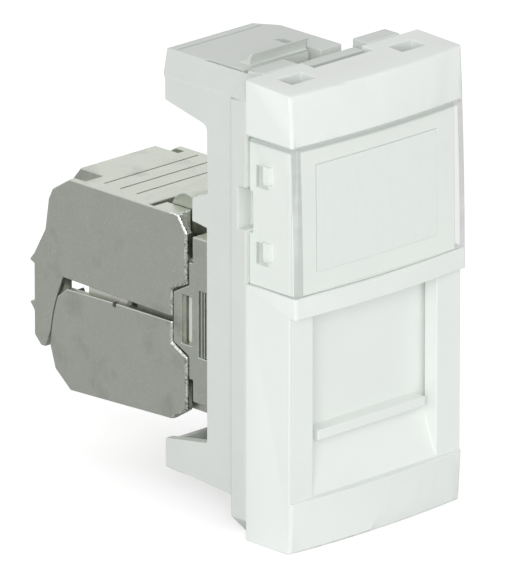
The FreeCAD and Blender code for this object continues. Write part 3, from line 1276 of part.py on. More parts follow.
def make_wire_comb(name, skin, face, sign, far):
    """A plastic tray that presses four wires onto the blades."""
    body = new_body(name)
    front, back = deep(size.comb_front_deep), deep(size.comb_back_deep)
    low, high = (face, skin) if sign > 0 else (skin, face)
    add_box(body, "tray", both(size.comb_half), (front, back), (low, high))
    skirt_low, skirt_high = (far, face + OVERLAP) if sign > 0 else (face - OVERLAP, far)
    for side in (-1, 1):
        x = side_range(side, size.comb_half - size.comb_skirt, size.comb_half)
        add_box(body, f"skirt_{side + 2}", x, (deep(size.comb_skirt_deep), back), (skirt_low, skirt_high))
    blade = deep(size.blade_deep)
    row = -size.blade_pitch * (size.blade_count - 1) / 2
    slit = size.blade_thickness / 2 + size.insert_play
    reach = size.blade_height + size.insert_play * 2
    block_face = up(size.block_high_up) if sign > 0 else up(size.block_low_up)
    tip = block_face + reach * sign
    slit_z = (face - OVERLAP, tip) if sign > 0 else (tip, face + OVERLAP)
    cutter = cut_box(body, "blade_slit", (row - slit, row + slit),
                     (front - REACH, blade + size.blade_width + size.insert_play), slit_z)
    repeat(body, "blade_slits", [cutter], "X", size.blade_pitch, size.blade_count)
    return body


make_front_cover()
make_label_window()
make_label_card()
make_shutter()
make_shutter_spring()
make_carrier_frame()
make_jack_shell()
make_hinge_pin("upper_hinge_pin", size.upper_pin_deep, size.upper_pin_up)
make_hinge_pin("lower_hinge_pin", size.lower_pin_deep, size.lower_pin_up)
make_port_insert()
make_shield_springs()
make_port_contacts()
make_contact_board()
make_terminal_block()
make_terminal_blades("upper_terminal_blades", up(size.block_high_up), 1)
make_terminal_blades("lower_terminal_blades", up(size.block_low_up), -1)
make_upper_flap()
make_lower_flap()
make_wire_comb("upper_wire_comb", up(size.flap_top_up) - size.flap_skin,
               up(size.block_high_up) + size.comb_gap, 1, up(size.comb_meet_up + size.comb_meet_gap))
make_wire_comb("lower_wire_comb", up(size.lower_floor_up + size.flap_skin + size.floor_rise),
               up(size.block_low_up) - size.comb_gap, -1, up(size.comb_meet_up - size.comb_meet_gap))
doc.recompute()
os.makedirs("parts", exist_ok=True)
for item in doc.Objects:
    if item.TypeId in ("PartDesign::Body", "Part::Feature"):
        check_state(item)
        shape = item.Shape
        if shape.isNull() or not shape.isValid():
            raise RuntimeError(f"{item.Label} is not a valid solid")
        print(item.Label, len(shape.Solids), round(shape.Volume, 1))
        shape.exportStep(f"parts/{item.Label}.step")
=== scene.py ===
import json
import math

import bmesh
import bpy
from mathutils import Matrix, Vector, geometry

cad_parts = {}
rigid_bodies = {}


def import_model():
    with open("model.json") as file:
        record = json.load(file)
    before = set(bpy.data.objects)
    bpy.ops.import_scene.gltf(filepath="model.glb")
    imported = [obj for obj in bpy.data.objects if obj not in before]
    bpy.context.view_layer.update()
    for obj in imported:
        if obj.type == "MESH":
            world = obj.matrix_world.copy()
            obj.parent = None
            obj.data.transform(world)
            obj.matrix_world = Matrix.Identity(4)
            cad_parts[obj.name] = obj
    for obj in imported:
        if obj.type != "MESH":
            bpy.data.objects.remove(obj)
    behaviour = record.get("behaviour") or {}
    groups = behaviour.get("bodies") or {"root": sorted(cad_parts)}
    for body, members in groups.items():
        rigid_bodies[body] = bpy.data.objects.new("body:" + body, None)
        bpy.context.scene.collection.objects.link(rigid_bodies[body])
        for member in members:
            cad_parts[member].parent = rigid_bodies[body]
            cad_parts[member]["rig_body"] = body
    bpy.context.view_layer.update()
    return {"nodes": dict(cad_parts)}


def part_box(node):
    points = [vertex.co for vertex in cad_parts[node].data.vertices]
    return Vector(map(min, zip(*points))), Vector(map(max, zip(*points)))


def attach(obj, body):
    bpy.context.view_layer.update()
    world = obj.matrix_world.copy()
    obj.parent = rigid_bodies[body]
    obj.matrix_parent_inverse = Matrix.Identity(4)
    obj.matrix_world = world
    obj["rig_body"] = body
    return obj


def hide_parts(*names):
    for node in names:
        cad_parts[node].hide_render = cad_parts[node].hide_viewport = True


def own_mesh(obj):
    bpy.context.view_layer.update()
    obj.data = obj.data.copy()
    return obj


# The looks of a one-module data outlet: white cover, clear label window, grey carrier and a
# nickel-plated tool-less jack. Lengths named in mm are turned to metres by MM.

MM = 0.001
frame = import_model()
scene = bpy.context.scene


# Places that the construction gives, in metres

FLOOR_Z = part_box("front_cover")[0].z


# Colours, nodes and the parts of a finish

# Makes a Mix node blend colours
COLOURS = {"data_type": "RGBA"}


def linear(hex_colour):
    """A hex sRGB colour as the linear RGBA that a shader takes."""
    channels = [int(hex_colour[i:i + 2], 16) / 255 for i in (0, 2, 4)]
    parts = [c / 12.92 if c <= 0.04045 else ((c + 0.055) / 1.055) ** 2.4 for c in channels]
    return (*parts, 1.0)


def add_node(tree, kind, settings=None, **links):
    """Adds a node with its settings and links.

    A link names an input socket, or gives its number as i0 does, and its value or the output
    socket to join to it.
    """
    node = tree.nodes.new(kind)
    for name, value in (settings or {}).items():
        setattr(node, name, value)
    for name, value in links.items():
        socket = node.inputs[int(name[1:])] if name[1:].isdigit() else node.inputs[name.replace("_", " ")]
        if isinstance(value, bpy.types.NodeSocket):
            tree.links.new(value, socket)
        else:
            socket.default_value = value
    return node


def new_material(name):
    """A material with a Principled shader; gives the material, its tree, shader and coordinates."""
    material = bpy.data.materials.new(name)
    material.use_nodes = True
    tree = material.node_tree
    shader = tree.nodes["Principled BSDF"]
    place = add_node(tree, "ShaderNodeTexCoord").outputs["Object"]
    return material, tree, shader, place


def grain(tree, place, size_mm, detail=2.0, stretch=(1.0, 1.0, 1.0)):
    """Noise whose lumps are about size_mm across, stretched along the axes given."""
    scaled = add_node(tree, "ShaderNodeMapping", Vector=place, Scale=stretch).outputs["Vector"]
    noise = add_node(tree, "ShaderNodeTexNoise", Vector=scaled, Scale=1 / (size_mm * MM), Detail=detail)
    return noise.outputs["Fac"]


def mottle(tree, shader, pattern, dark, light):
    """Colours the surface between two hex shades with the pattern."""
    shades = add_node(tree, "ShaderNodeMix", COLOURS, Factor=pattern, i6=linear(dark), i7=linear(light))
    tree.links.new(shades.outputs[2], shader.inputs["Base Color"])


def sheen(tree, shader, pattern, low, high):
    """Lets the roughness go from low to high with the pattern."""
    roughness = add_node(tree, "ShaderNodeMapRange", Value=pattern, To_Min=low, To_Max=high)
    tree.links.new(roughness.outputs["Result"], shader.inputs["Roughness"])


def relief(tree, shader, pattern, depth_mm):
    """Raises the surface by depth_mm, for the light only, where the pattern is 1."""
    bump = add_node(tree, "ShaderNodeBump", Height=pattern, Distance=depth_mm * MM, Strength=1.0)
    tree.links.new(bump.outputs["Normal"], shader.inputs["Normal"])


# Materials

# Sizes given to grain are in mm. The real grain of moulds and castings and the real lines of
# drawn and rolled metal are finer than 0.05 mm and would not show, so they are made coarser.

# In mm: the middle and half width of the window's wall zones, which get painted grey shade, the
# height of its band of painted grey shade at the top, half the width in which a zone fades, and
# the depth where the flaps' painted highlight ends
WALL_MIDDLE = 10.725
WALL_HALF = 0.475
TOP_BAND = 16.95
BAND_BLUR = 0.1
HIGHLIGHT_UNTIL = 12.2


def satin_white_abs():
    """Injection-moulded ABS, spark-eroded mould: clean white with a soft, even sheen."""
    material, tree, shader, place = new_material("satin_white_abs")
    cloud = grain(tree, place, 9.0)
    mottle(tree, shader, cloud, "ebefec", "f2f6f2")
    fine = grain(tree, place, 0.16, 3.0)
    sheen(tree, shader, fine, 0.34, 0.44)
    relief(tree, shader, fine, 0.004)
    shader.inputs["IOR"].default_value = 1.53
    return material


def clear_polycarbonate(name, middle, wall):
    """Polished clear polycarbonate: bright through the middle, with painted grey shade before the side and
    top walls.
    """
    material, tree, shader, place = new_material(name)
    parts = add_node(tree, "ShaderNodeSeparateXYZ", Vector=place).outputs
    distance = add_node(tree, "ShaderNodeMath", {"operation": "ABSOLUTE"}, i0=parts["X"]).outputs[0]
    in_wall = add_node(tree, "ShaderNodeMath", {"operation": "COMPARE"},
                       i0=distance, i1=WALL_MIDDLE * MM, i2=WALL_HALF * MM).outputs[0]
    blocks = add_node(tree, "ShaderNodeMapRange", Value=grain(tree, place, 1.3, 1.0, (0.1, 0.1, 1.0)),
                      From_Min=0.35, From_Max=0.65).outputs["Result"]
    # Painted shade: the side walls are drawn grey in streaks, and the top wall as a grey band
    wall_shade_streaks = add_node(tree, "ShaderNodeMix", COLOURS, Factor=blocks, i6=linear(wall), i7=linear("c6cac7"))
    at_top = add_node(tree, "ShaderNodeMapRange", Value=parts["Z"], From_Min=(TOP_BAND - BAND_BLUR) * MM,
                      From_Max=(TOP_BAND + BAND_BLUR) * MM).outputs["Result"]
    top_shaded = add_node(tree, "ShaderNodeMix", COLOURS, Factor=at_top, i6=linear(middle), i7=linear("b2b6b3"))
    wall_shaded = add_node(tree, "ShaderNodeMix", COLOURS,
                      Factor=in_wall, i6=top_shaded.outputs[2], i7=wall_shade_streaks.outputs[2])
    tree.links.new(wall_shaded.outputs[2], shader.inputs["Base Color"])
    shader.inputs["Transmission Weight"].default_value = 1.0
    shader.inputs["IOR"].default_value = 1.49
    cloud = grain(tree, place, 6.0)
    sheen(tree, shader, cloud, 0.02, 0.05)
    # Only the camera sees the plastic, and light passes straight through it to the card
    straight = add_node(tree, "ShaderNodeBsdfTransparent", Color=linear("ffffff")).outputs["BSDF"]
    seen = add_node(tree, "ShaderNodeLightPath").outputs["Is Camera Ray"]
    mix = add_node(tree, "ShaderNodeMixShader", i0=seen, i1=straight, i2=shader.outputs["BSDF"])
    tree.links.new(mix.outputs["Shader"], tree.nodes["Material Output"].inputs["Surface"])
    return material


def plain_card():
    """Uncoated white card: the label, faintly fibrous and quite matt."""
    material, tree, shader, place = new_material("plain_card")
    fibre = grain(tree, place, 0.5, 4.0, (1.0, 1.0, 0.3))
    mottle(tree, shader, fibre, "e9eeea", "eef3ef")
    shader.inputs["Roughness"].default_value = 0.85
    relief(tree, shader, fibre, 0.01)
    return material


def moulded_grey_pc():
    """Glass-filled polycarbonate, straight from the mould: light grey, low sheen, faint mottle."""
    material, tree, shader, place = new_material("moulded_grey_pc")
    cloud = grain(tree, place, 4.0, 3.0)
    mottle(tree, shader, cloud, "d6dad6", "dde1dd")
    fine = grain(tree, place, 0.22, 3.0)
    sheen(tree, shader, fine, 0.46, 0.6)
    relief(tree, shader, fine, 0.006)
    shader.inputs["IOR"].default_value = 1.58
    return material


def matt_nickel_zinc(name, highlight_until=None):
    """Zinc die casting, barrel-plated with matt nickel: warm grey, softly speckled.

    Before the depth highlight_until, in mm, tumbling has made it smoother, and its colour there is a
    painted highlight, bright with dark specks.
    """
    material, tree, shader, place = new_material(name)
    cloud = grain(tree, place, 2.5, 3.0)
    plain = add_node(tree, "ShaderNodeMix", COLOURS, Factor=cloud, i6=linear("c6cac0"), i7=linear("cfd3c9"))
    stain = add_node(tree, "ShaderNodeMapRange", Value=grain(tree, place, 3.2, 5.0),
                     From_Min=0.56, From_Max=0.95).outputs["Result"]
    stained = add_node(tree, "ShaderNodeMix", COLOURS,
                       Factor=stain, i6=plain.outputs[2], i7=linear("a2a49d"))
    speckle = grain(tree, place, 0.2, 4.0)
    glints = add_node(tree, "ShaderNodeMapRange", Value=speckle,
                      From_Min=0.55, From_Max=1.05).outputs["Result"]
    colour = add_node(tree, "ShaderNodeMix", COLOURS,
                      Factor=glints, i6=stained.outputs[2], i7=linear("f2f5ef")).outputs[2]
    roughness = add_node(tree, "ShaderNodeMapRange", Value=speckle,
                         To_Min=0.34, To_Max=0.44).outputs["Result"]
    if highlight_until is not None:
        depth = add_node(tree, "ShaderNodeSeparateXYZ", Vector=place).outputs["Y"]
        # Painted highlight: the rounded front edges are bright with dark specks, and smoother
        edge_light = add_node(tree, "ShaderNodeMapRange", Value=depth, From_Min=(highlight_until + BAND_BLUR) * MM,
                        From_Max=(highlight_until - BAND_BLUR) * MM).outputs["Result"]
        dark_specks = add_node(tree, "ShaderNodeMapRange", Value=grain(tree, place, 0.24, 4.0),
                        From_Min=0.4, From_Max=0.56).outputs["Result"]
        bright = add_node(tree, "ShaderNodeMix", COLOURS,
                          Factor=dark_specks, i6=linear("a6a7a1"), i7=linear("f6f8f3"))
        colour = add_node(tree, "ShaderNodeMix", COLOURS,
                          Factor=edge_light, i6=colour, i7=bright.outputs[2]).outputs[2]
        roughness = add_node(tree, "ShaderNodeMix", Factor=edge_light, i2=roughness, i3=0.26).outputs[0]
    tree.links.new(colour, shader.inputs["Base Color"])
    shader.inputs["Metallic"].default_value = 1.0
    tree.links.new(roughness, shader.inputs["Roughness"])
    relief(tree, shader, speckle, 0.01)
    return material


def drawn_steel():
    """Drawn steel wire and rod: clean grey with fine lines along it."""
    material, tree, shader, place = new_material("drawn_steel")
    lines = grain(tree, place, 0.12, 2.0, (0.1, 1.0, 1.0))
    mottle(tree, shader, lines, "a3a4a3", "b8b9b8")
    shader.inputs["Metallic"].default_value = 1.0
    sheen(tree, shader, lines, 0.22, 0.36)
    return material


def gold_flash():
    """Phosphor bronze with a thin gold flash: the port's contacts."""
    material, tree, shader, place = new_material("gold_flash")
    cloud = grain(tree, place, 1.2)
    mottle(tree, shader, cloud, "d9b45a", "e6c672")
    shader.inputs["Metallic"].default_value = 1.0
    sheen(tree, shader, cloud, 0.16, 0.26)
    return material


def rolled_bronze():
    """Rolled phosphor bronze strip, tin-washed: blades and shield springs."""
    material, tree, shader, place = new_material("rolled_bronze")
    lines = grain(tree, place, 0.2, 2.0, (1.0, 0.12, 1.0))
    mottle(tree, shader, lines, "c49a6c", "d6b185")
    shader.inputs["Metallic"].default_value = 1.0
    sheen(tree, shader, lines, 0.24, 0.36)
    return material


def dark_moulding():
    """Glass-filled nylon in charcoal: the port insert, matt with a fine grain."""
    material, tree, shader, place = new_material("dark_moulding")
    fine = grain(tree, place, 0.25, 3.0)
    mottle(tree, shader, fine, "26282a", "303335")
    sheen(tree, shader, fine, 0.42, 0.56)
    relief(tree, shader, fine, 0.006)
    return material


def solder_mask():
    """Green solder mask over a glass-fibre board."""
    material, tree, shader, place = new_material("solder_mask")
    weave = grain(tree, place, 0.35, 2.0)
    mottle(tree, shader, weave, "1d5a38", "236642")
    sheen(tree, shader, weave, 0.24, 0.34)
    return material


def ivory_moulding():
    """Unpainted polycarbonate in off-white: terminal block and wire combs."""
    material, tree, shader, place = new_material("ivory_moulding")
    cloud = grain(tree, place, 3.0, 2.0)
    mottle(tree, shader, cloud, "dcdcd4", "e6e6df")
    sheen(tree, shader, cloud, 0.4, 0.5)
    relief(tree, shader, grain(tree, place, 0.2, 3.0), 0.005)
    return material


# Geometry Nodes for what repeats

def new_group(name, **inputs):
    """A Geometry Nodes tree with named inputs and one geometry output."""
    tree = bpy.data.node_groups.new(name, "GeometryNodeTree")
    for label, kind in inputs.items():
        tree.interface.new_socket(label.replace("_", " "), in_out="INPUT", socket_type="NodeSocket" + kind)
    tree.interface.new_socket("Geometry", in_out="OUTPUT", socket_type="NodeSocketGeometry")
    return tree, tree.nodes.new("NodeGroupInput").outputs


def end_group(tree, geometry, material):
    """Makes the instances real, gives them their material and closes the tree."""
    real = add_node(tree, "GeometryNodeRealizeInstances", Geometry=geometry).outputs["Geometry"]
    done = add_node(tree, "GeometryNodeSetMaterial", Geometry=real, Material=material).outputs["Geometry"]
    add_node(tree, "NodeGroupOutput", Geometry=done)


def row_tree():
    """Copies of the incoming piece, one step apart."""
    tree, given = new_group("piece_row", Geometry="Geometry", Count="Int", Step="Vector",
                            Material="Material")
    line = add_node(tree, "GeometryNodeMeshLine", {"mode": "OFFSET"},
                    Count=given["Count"], Offset=given["Step"])
    copies = add_node(tree, "GeometryNodeInstanceOnPoints",
                      Points=line.outputs["Mesh"], Instance=given["Geometry"])
    end_group(tree, copies.outputs["Instances"], given["Material"])
    return tree


def coil_tree():
    """A closed round wire wound to a helix that rises from its own origin."""
    tree, given = new_group("wire_coil", Geometry="Geometry", Turns="Float", Radius="Float", Height="Float",
                            Wire_Radius="Float", Material="Material")
    spiral = add_node(tree, "GeometryNodeCurveSpiral", Resolution=24, Rotations=given["Turns"],
                      Start_Radius=given["Radius"], End_Radius=given["Radius"], Height=given["Height"])
    section = add_node(tree, "GeometryNodeCurvePrimitiveCircle", Resolution=10, Radius=given["Wire Radius"])
    wire = add_node(tree, "GeometryNodeCurveToMesh", Curve=spiral.outputs["Curve"],
                    Profile_Curve=section.outputs["Curve"], Fill_Caps=True)
    end_group(tree, wire.outputs["Mesh"], given["Material"])
    return tree


def set_inputs(nodes, **values):
    """Sets a Geometry Nodes modifier's inputs by their identifiers."""
    for item in nodes.node_group.interface.items_tree:
        key = item.name.replace(" ", "_")
        if item.in_out == "INPUT" and key in values:
            value = values[key]
            nodes[item.identifier] = tuple(value) if isinstance(value, Vector) else value


ROW = row_tree()
COIL = coil_tree()


# Pieces that keep the construction's shape and get their rounded edges

# Points closer than SAME_PLACE join, and a turn under FLAT_TURN is flat
SAME_PLACE = 0.002 * MM
FLAT_TURN = math.radians(0.5)
# Edges that turn by more than this are rounded, in this many steps
SHARP_TURN = math.radians(28)
ROUNDING_STEPS = 2
# How much of the narrower face beside an edge its rounding may take, plain or with painted edge light
ROUND_SHARE = 0.45
EDGE_LIGHT_SHARE = 0.8
# How near the points are that merged joins
CORNER_REACH = 0.3 * MM
# What careful asks for: edges that meet at less than SMOOTH_TURN count as one line, the edge
# at its end is SHORT_SHARE roundings long, and all others are GAP_SHARE roundings away
SMOOTH_TURN = math.radians(50)
SHORT_SHARE = 1.2
GAP_SHARE = 2.05


def link(piece):
    """Puts a new object into the scene."""
    scene.collection.objects.link(piece)
    return piece


def finished_mesh(piece, name):
    """The piece's evaluated shape as a plain mesh of its own; the modified piece is removed."""
    bpy.context.view_layer.update()
    graph = bpy.context.evaluated_depsgraph_get()
    mesh = bpy.data.meshes.new_from_object(piece.evaluated_get(graph))
    bpy.data.objects.remove(piece)
    mesh.name = name
    return link(bpy.data.objects.new(name, mesh))


def thickness(face):
    """About how wide a face is across its narrow way."""
    return 2 * face.calc_area() / face.calc_perimeter()


def gap_between(one, two):
    """The gap between two edges of a flat face that do not meet."""
    gaps = []
    for edge, other in ((one, two), (two, one)):
        start, end = (vert.co for vert in edge.verts)
        for vert in other.verts:
            share = geometry.intersect_point_line(vert.co, start, end)[1]
            gaps.append((vert.co - start.lerp(end, min(1.0, max(0.0, share)))).length)
    return min(gaps)


def has_room(edge, width):
    """Tells whether a rounding of this width meets no other edge of the faces beside it."""
    for loop in edge.link_loops:
        along = loop.link_loop_next.vert.co - loop.vert.co
        others, step = [], loop.link_loop_next
        while step != loop:
            others.append((step.edge, along.angle(step.link_loop_next.vert.co - step.vert.co)))
            step = step.link_loop_next
        # Edges that run on smoothly are passed over, and the one where they end has to be long
        for end in (0, -1):
            while others and others[end][1] < SMOOTH_TURN:
                others.pop(end)
            if others and others.pop(end)[0].calc_length() < SHORT_SHARE * width:
                return False
        if any(gap_between(edge, other) < GAP_SHARE * width for other, _ in others):
            return False
    return True


def keep_first(form):
    """Leaves only the solid with the lowest X, the first of a row."""
    start = min(form.verts, key=lambda vert: vert.co.x)
    kept, front = {start}, [start]
    while front:
        near = [edge.other_vert(vert) for vert in front for edge in vert.link_edges]
        front = list(set(near) - kept)
        kept.update(front)
    bmesh.ops.delete(form, geom=[vert for vert in form.verts if vert not in kept], context="VERTS")


def rounded_copy(node, material, edge_mm=0.0, edge_light=None, edge_light_mm=0.0, is_worn=None,
                 grow_mm=0.0, merged=None, row=None, careful=False):
    """A merged copy of a CAD node whose sharp edges are rounded; it stands for the node.

    Edges whose middle passes is_worn are rounded by edge_light_mm; worn is the material of all roundings,
    which carries painted light: grey shade on the window's rim, a highlight on the flaps' fronts.
    Edges beside a face too narrow for the rounding stay sharp, and with careful those near another
    edge of their faces too. With grow_mm a plate fills its seat to the sides and to the front.
    Points that pass merged join their near neighbours. With row, a count and a step in mm, only
    the first solid is copied and Geometry Nodes repeat it.
    """
    mesh = frame["nodes"][node].data.copy()
    mesh.materials.clear()
    mesh.materials.append(material)
    if edge_light:
        mesh.materials.append(edge_light)
    widest = max(edge_mm, edge_light_mm)
    form = bmesh.new()
    form.from_mesh(mesh)
    bmesh.ops.remove_doubles(form, verts=form.verts, dist=SAME_PLACE)
    bmesh.ops.dissolve_limit(form, angle_limit=FLAT_TURN, verts=form.verts, edges=form.edges)
    if row:
        keep_first(form)
    if merged:
        corner = [vert for vert in form.verts if merged(vert.co)]
        bmesh.ops.remove_doubles(form, verts=corner, dist=CORNER_REACH)
    if grow_mm:
        low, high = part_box(node)
        middle = (low + high) / 2
        for vert in form.verts:
            vert.co.x += math.copysign(grow_mm * MM, vert.co.x - middle.x)
            vert.co.z += math.copysign(grow_mm * MM, vert.co.z - middle.z)
            if vert.co.y < middle.y:
                vert.co.y -= grow_mm * MM
    weight = form.edges.layers.float.new("bevel_weight_edge")
    for edge in form.edges:
        if widest and len(edge.link_faces) == 2 and edge.calc_face_angle() > SHARP_TURN:
            middle = (edge.verts[0].co + edge.verts[1].co) / 2
            wish = edge_light_mm if is_worn and is_worn(middle) else edge_mm
            share = EDGE_LIGHT_SHARE if wish == edge_light_mm else ROUND_SHARE
            room = share * min(thickness(face) for face in edge.link_faces) / MM
            fits = 0 < wish <= room and (not careful or has_room(edge, wish * MM))
            edge[weight] = wish / widest if fits else 0.0
    form.to_mesh(mesh)
    form.free()
    mesh.polygons.foreach_set("use_smooth", [True] * len(mesh.polygons))
    mesh.polygons.foreach_set("material_index", [0] * len(mesh.polygons))
    mesh.set_sharp_from_angle(angle=SHARP_TURN)
    rough = link(bpy.data.objects.new(node + "_rough", mesh))
    if widest:
        bevel = rough.modifiers.new("edges", "BEVEL")
        bevel.width = widest * MM
        bevel.segments = ROUNDING_STEPS
        bevel.limit_method = "WEIGHT"
        bevel.material = 1 if edge_light else -1
        bevel.harden_normals = True
        bevel.use_clamp_overlap = False
    if row:
        nodes = rough.modifiers.new("row", "NODES")
        nodes.node_group = ROW
        set_inputs(nodes, Count=row[0], Step=Vector(row[1]) * MM, Material=material)
    piece = finished_mesh(rough, node + "_finish")
    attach(piece, frame["nodes"][node]["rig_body"])
    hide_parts(node)


WHITE = satin_white_abs()
CLEAR = clear_polycarbonate("clear_polycarbonate", "f9fbf9", "b8bcb9")
# The window's polished rim is painted grey, as shade
SHADED_CLEAR_EDGE = clear_polycarbonate("clear_edge", "9a9d9b", "8c8f8d")
CARD = plain_card()
GREY = moulded_grey_pc()
NICKEL = matt_nickel_zinc("matt_nickel_zinc")
HIGHLIT_NICKEL = matt_nickel_zinc("worn_nickel_zinc", highlight_until=HIGHLIGHT_UNTIL)
STEEL = drawn_steel()
GOLD = gold_flash()
BRONZE = rolled_bronze()
DARK = dark_moulding()
MASK = solder_mask()
IVORY = ivory_moulding()

# The card fills the 0.05 mm of play in its seat but for a hair
CARD_GROWTH_MM = 0.0485

rounded_copy("front_cover", WHITE, edge_mm=0.12)
WINDOW_LOW, WINDOW_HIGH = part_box("label_window")
RIM = 0.3 * MM


def on_window_rim(middle):
    """Tells the window's outline, whose polished edge gets painted grey shade."""
    return min(middle.z - WINDOW_LOW.z, WINDOW_HIGH.z - middle.z, WINDOW_HIGH.y - middle.y) < RIM


rounded_copy("label_window", CLEAR,
             edge_light=SHADED_CLEAR_EDGE, edge_light_mm=0.2, is_worn=on_window_rim)
rounded_copy("label_card", CARD, grow_mm=CARD_GROWTH_MM)
rounded_copy("shutter", WHITE, edge_mm=0.08)

SPRING_LOW, SPRING_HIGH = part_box("shutter_spring")
SPRING_TURNS = 9.0
WIRE_RADIUS = 0.12 * MM


def make_spring():
    """The shutter's coil spring. The real spring shortens towards its upper seat as the shutter rises; this
    coil keeps its length.
    """
    empty = bpy.data.meshes.new("shutter_spring_rough")
    rough = link(bpy.data.objects.new("shutter_spring_rough", empty))
    nodes = rough.modifiers.new("coil", "NODES")
    nodes.node_group = COIL
    length = SPRING_HIGH.z - SPRING_LOW.z
    set_inputs(nodes, Turns=SPRING_TURNS, Radius=(SPRING_HIGH.x - SPRING_LOW.x) / 2 - WIRE_RADIUS,
               Height=length - 2 * WIRE_RADIUS, Wire_Radius=WIRE_RADIUS, Material=STEEL)
    spring = finished_mesh(rough, "shutter_spring_coil")
    middle = (SPRING_LOW + SPRING_HIGH) / 2
    spring.data.transform(Matrix.Translation((middle.x, middle.y, SPRING_LOW.z + WIRE_RADIUS)))
    spring.data.shade_smooth()
    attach(spring, frame["nodes"]["shutter_spring"]["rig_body"])
    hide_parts("shutter_spring")
    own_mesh(spring)


make_spring()
rounded_copy("carrier_frame", GREY, edge_mm=0.14, careful=True)
rounded_copy("jack_shell", NICKEL, edge_mm=0.1)

# Where the front outlines of the flaps, with their painted highlight, and the small corner bevel of the
# lower one lie
SIDE_REACH = 0.05 * MM
SIDE_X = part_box("jack_shell")[1].x - SIDE_REACH
FLAP_FRONT_Y = 12.1 * MM
NOSE_Y = (11.8 * MM, 12.2 * MM)
NOSE_Z = (-5.4 * MM, -4.9 * MM)

# How many stand in a row, and the step to the next in mm
CONTACT_ROW = (8, (1.016, 0, 0))
BLADE_ROW = (4, (2.5, 0, 0))


def on_side_front(middle):
    """Tells the front outline of a flap's sides, which gets the widest rounding with a painted highlight.
    """
    return abs(middle.x) > SIDE_X and middle.y < FLAP_FRONT_Y


def at_lower_nose(place):
    """Tells the small bevel at the lower flap's upper front corner."""
    return NOSE_Y[0] < place.y < NOSE_Y[1] and NOSE_Z[0] < place.z < NOSE_Z[1]


for flap in ("upper_flap", "lower_flap"):
    rounded_copy(flap, NICKEL, edge_mm=0.14,
                 edge_light=HIGHLIT_NICKEL, edge_light_mm=0.3, is_worn=on_side_front, merged=at_lower_nose)
rounded_copy("upper_hinge_pin", STEEL, edge_mm=0.08)
rounded_copy("lower_hinge_pin", STEEL, edge_mm=0.08)
rounded_copy("port_insert", DARK, edge_mm=0.08)
rounded_copy("shield_springs", BRONZE)
rounded_copy("port_contacts", GOLD, edge_mm=0.08, row=CONTACT_ROW)
rounded_copy("contact_board", MASK, edge_mm=0.05)
rounded_copy("terminal_block", IVORY, edge_mm=0.1)
rounded_copy("upper_terminal_blades", BRONZE, edge_mm=0.06, row=BLADE_ROW)
rounded_copy("lower_terminal_blades", BRONZE, edge_mm=0.06, row=BLADE_ROW)
rounded_copy("upper_wire_comb", IVORY, edge_mm=0.1)
rounded_copy("lower_wire_comb", IVORY, edge_mm=0.1)


# The ribbed grips on the jack's sides, too fine for the construction

# In mm, as the left grip shows them: each rib, its step along the depth, and where the first is
RIB_MM = (0.29, 0.16, 6.5)
RIB_COUNT = 7
RIB_STEP_MM = 0.35
GRIP_CENTRE_X = 7.135
GRIP_FIRST_Y = 5.9
GRIP_MIDDLE_Z = -4.6
RIB_EDGE_MM = 0.05


def make_grip(name, side):
    """A row of ribs that fills one grip."""
    mesh = bpy.data.meshes.new(name)
    form = bmesh.new()
    bmesh.ops.create_cube(form, size=MM)
    bmesh.ops.scale(form, vec=RIB_MM, verts=form.verts)
    first = Vector((GRIP_CENTRE_X * side, GRIP_FIRST_Y, GRIP_MIDDLE_Z)) * MM
    bmesh.ops.translate(form, vec=first, verts=form.verts)
    form.to_mesh(mesh)
    form.free()
    mesh.materials.append(NICKEL)
    rough = link(bpy.data.objects.new(name + "_rough", mesh))
    bevel = rough.modifiers.new("edges", "BEVEL")
    bevel.width = RIB_EDGE_MM * MM
    bevel.segments = ROUNDING_STEPS
    nodes = rough.modifiers.new("row", "NODES")
    nodes.node_group = ROW
    set_inputs(nodes, Count=RIB_COUNT, Step=Vector((0, RIB_STEP_MM, 0)) * MM, Material=NICKEL)
    ribs = finished_mesh(rough, name)
    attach(ribs, frame["nodes"]["jack_shell"]["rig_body"])


make_grip("left_grip_ribs", -1)
make_grip("right_grip_ribs", 1)


# Studio

# The view is the one fitted to the photograph, with the camera moved beside the line through
# VIEW_CENTRE by the two aims. The air lights less than it shows, and the floor glows a little.
VIEW_AZIMUTH = math.radians(-44.173)
VIEW_ELEVATION = math.radians(18.795)
VIEW_CENTRE = Vector((0.0, 2.15, 0.0)) * MM
VIEW_DISTANCE = 1200 * MM
AIM_RIGHT = -4.279 * MM
AIM_UP = -1.421 * MM
SENSOR_MM = 36.0
LENS_MM = 791.0
CLIP_NEAR = 50 * MM
CLIP_FAR = 20000 * MM
LAMP_TARGET = Vector((0.0, 5.0, 0.0)) * MM
AIR_LIGHT = 0.62
FLOOR_SIZE = 4000 * MM
FLOOR_DROP = 0.02 * MM
FLOOR_GLOW = 0.45


def make_camera():
    """The photograph's long-lens view from the left, front and above."""
    back = Vector((math.sin(VIEW_AZIMUTH) * math.cos(VIEW_ELEVATION),
                   -math.cos(VIEW_AZIMUTH) * math.cos(VIEW_ELEVATION), math.sin(VIEW_ELEVATION)))
    right = Vector((math.cos(VIEW_AZIMUTH), math.sin(VIEW_AZIMUTH), 0))
    up = back.cross(right)
    data = bpy.data.cameras.new("camera")
    data.sensor_fit = "AUTO"
    data.sensor_width = SENSOR_MM
    data.lens = LENS_MM
    data.clip_start = CLIP_NEAR
    data.clip_end = CLIP_FAR
    camera = link(bpy.data.objects.new("camera", data))
    spot = VIEW_CENTRE + right * AIM_RIGHT + up * AIM_UP + back * VIEW_DISTANCE
    camera.matrix_world = Matrix((
        (right.x, up.x, back.x, spot.x),
        (right.y, up.y, back.y, spot.y),
        (right.z, up.z, back.z, spot.z),
        (0, 0, 0, 1)))
    scene.camera = camera


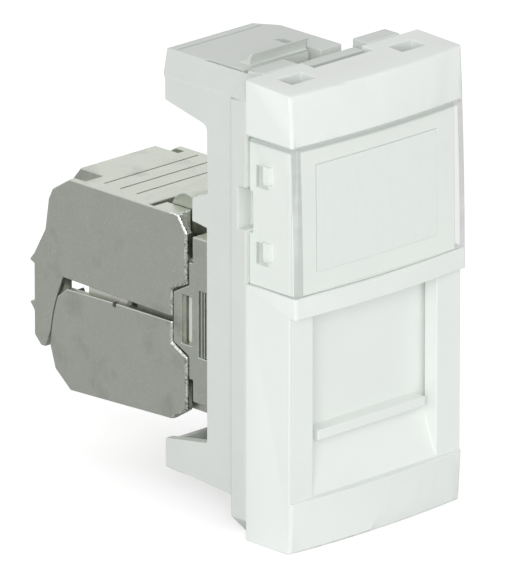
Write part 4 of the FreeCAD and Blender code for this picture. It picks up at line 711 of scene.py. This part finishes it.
def soft_box(name, place_mm, size_mm, watts):
    """A square studio lamp that faces the object."""
    data = bpy.data.lights.new(name, "AREA")
    data.size = size_mm * MM
    data.energy = watts
    lamp = link(bpy.data.objects.new(name, data))
    lamp.location = Vector(place_mm) * MM
    aim = LAMP_TARGET - lamp.location
    lamp.rotation_euler = aim.to_track_quat("-Z", "Y").to_euler()


def seen_directly(tree):
    """1 where the camera, a mirror or clear plastic looks straight at the surface."""
    path = add_node(tree, "ShaderNodeLightPath").outputs
    camera_or_gloss = add_node(tree, "ShaderNodeMath", {"operation": "MAXIMUM"},
                               i0=path["Is Camera Ray"], i1=path["Is Glossy Ray"]).outputs[0]
    return add_node(tree, "ShaderNodeMath", {"operation": "MAXIMUM"},
                    i0=camera_or_gloss, i1=path["Is Transmission Ray"]).outputs[0]


def make_world():
    """Even white studio air: it lights softly and is white where it is seen."""
    world = bpy.data.worlds.new("studio_air")
    scene.world = world
    world.use_nodes = True
    tree = world.node_tree
    background = tree.nodes["Background"]
    background.inputs["Color"].default_value = (1, 1, 1, 1)
    level = add_node(tree, "ShaderNodeMapRange", Value=seen_directly(tree), To_Min=AIR_LIGHT, To_Max=1.0)
    tree.links.new(level.outputs["Result"], background.inputs["Strength"])


def make_floor():
    """A wide pale floor that fades to white away from the object's shadow."""
    material, tree, shader, _ = new_material("pale_floor")
    shader.inputs["Roughness"].default_value = 0.9
    shader.inputs["Emission Color"].default_value = (1, 1, 1, 1)
    path = add_node(tree, "ShaderNodeLightPath").outputs
    # Painted shade in reflections: seen in a glossy surface the floor is darker than it is lit or seen
    mottle(tree, shader, path["Is Glossy Ray"], "f4f4f4", "c9c9c9")
    seen = add_node(tree, "ShaderNodeMath", {"operation": "MAXIMUM"},
                    i0=path["Is Camera Ray"], i1=path["Is Transmission Ray"]).outputs[0]
    glow = add_node(tree, "ShaderNodeMapRange", Value=seen,
                    To_Min=0.0, To_Max=FLOOR_GLOW).outputs["Result"]
    tree.links.new(glow, shader.inputs["Emission Strength"])
    bpy.ops.mesh.primitive_plane_add(size=FLOOR_SIZE, location=(0, 0, FLOOR_Z - FLOOR_DROP))
    floor = bpy.context.object
    floor.name = "floor"
    floor.data.materials.append(material)


make_camera()
make_world()
make_floor()
soft_box("front_left_box", place_mm=(-525, -476, 246), size_mm=380, watts=2.5)

scene.view_settings.view_transform = "Standard"
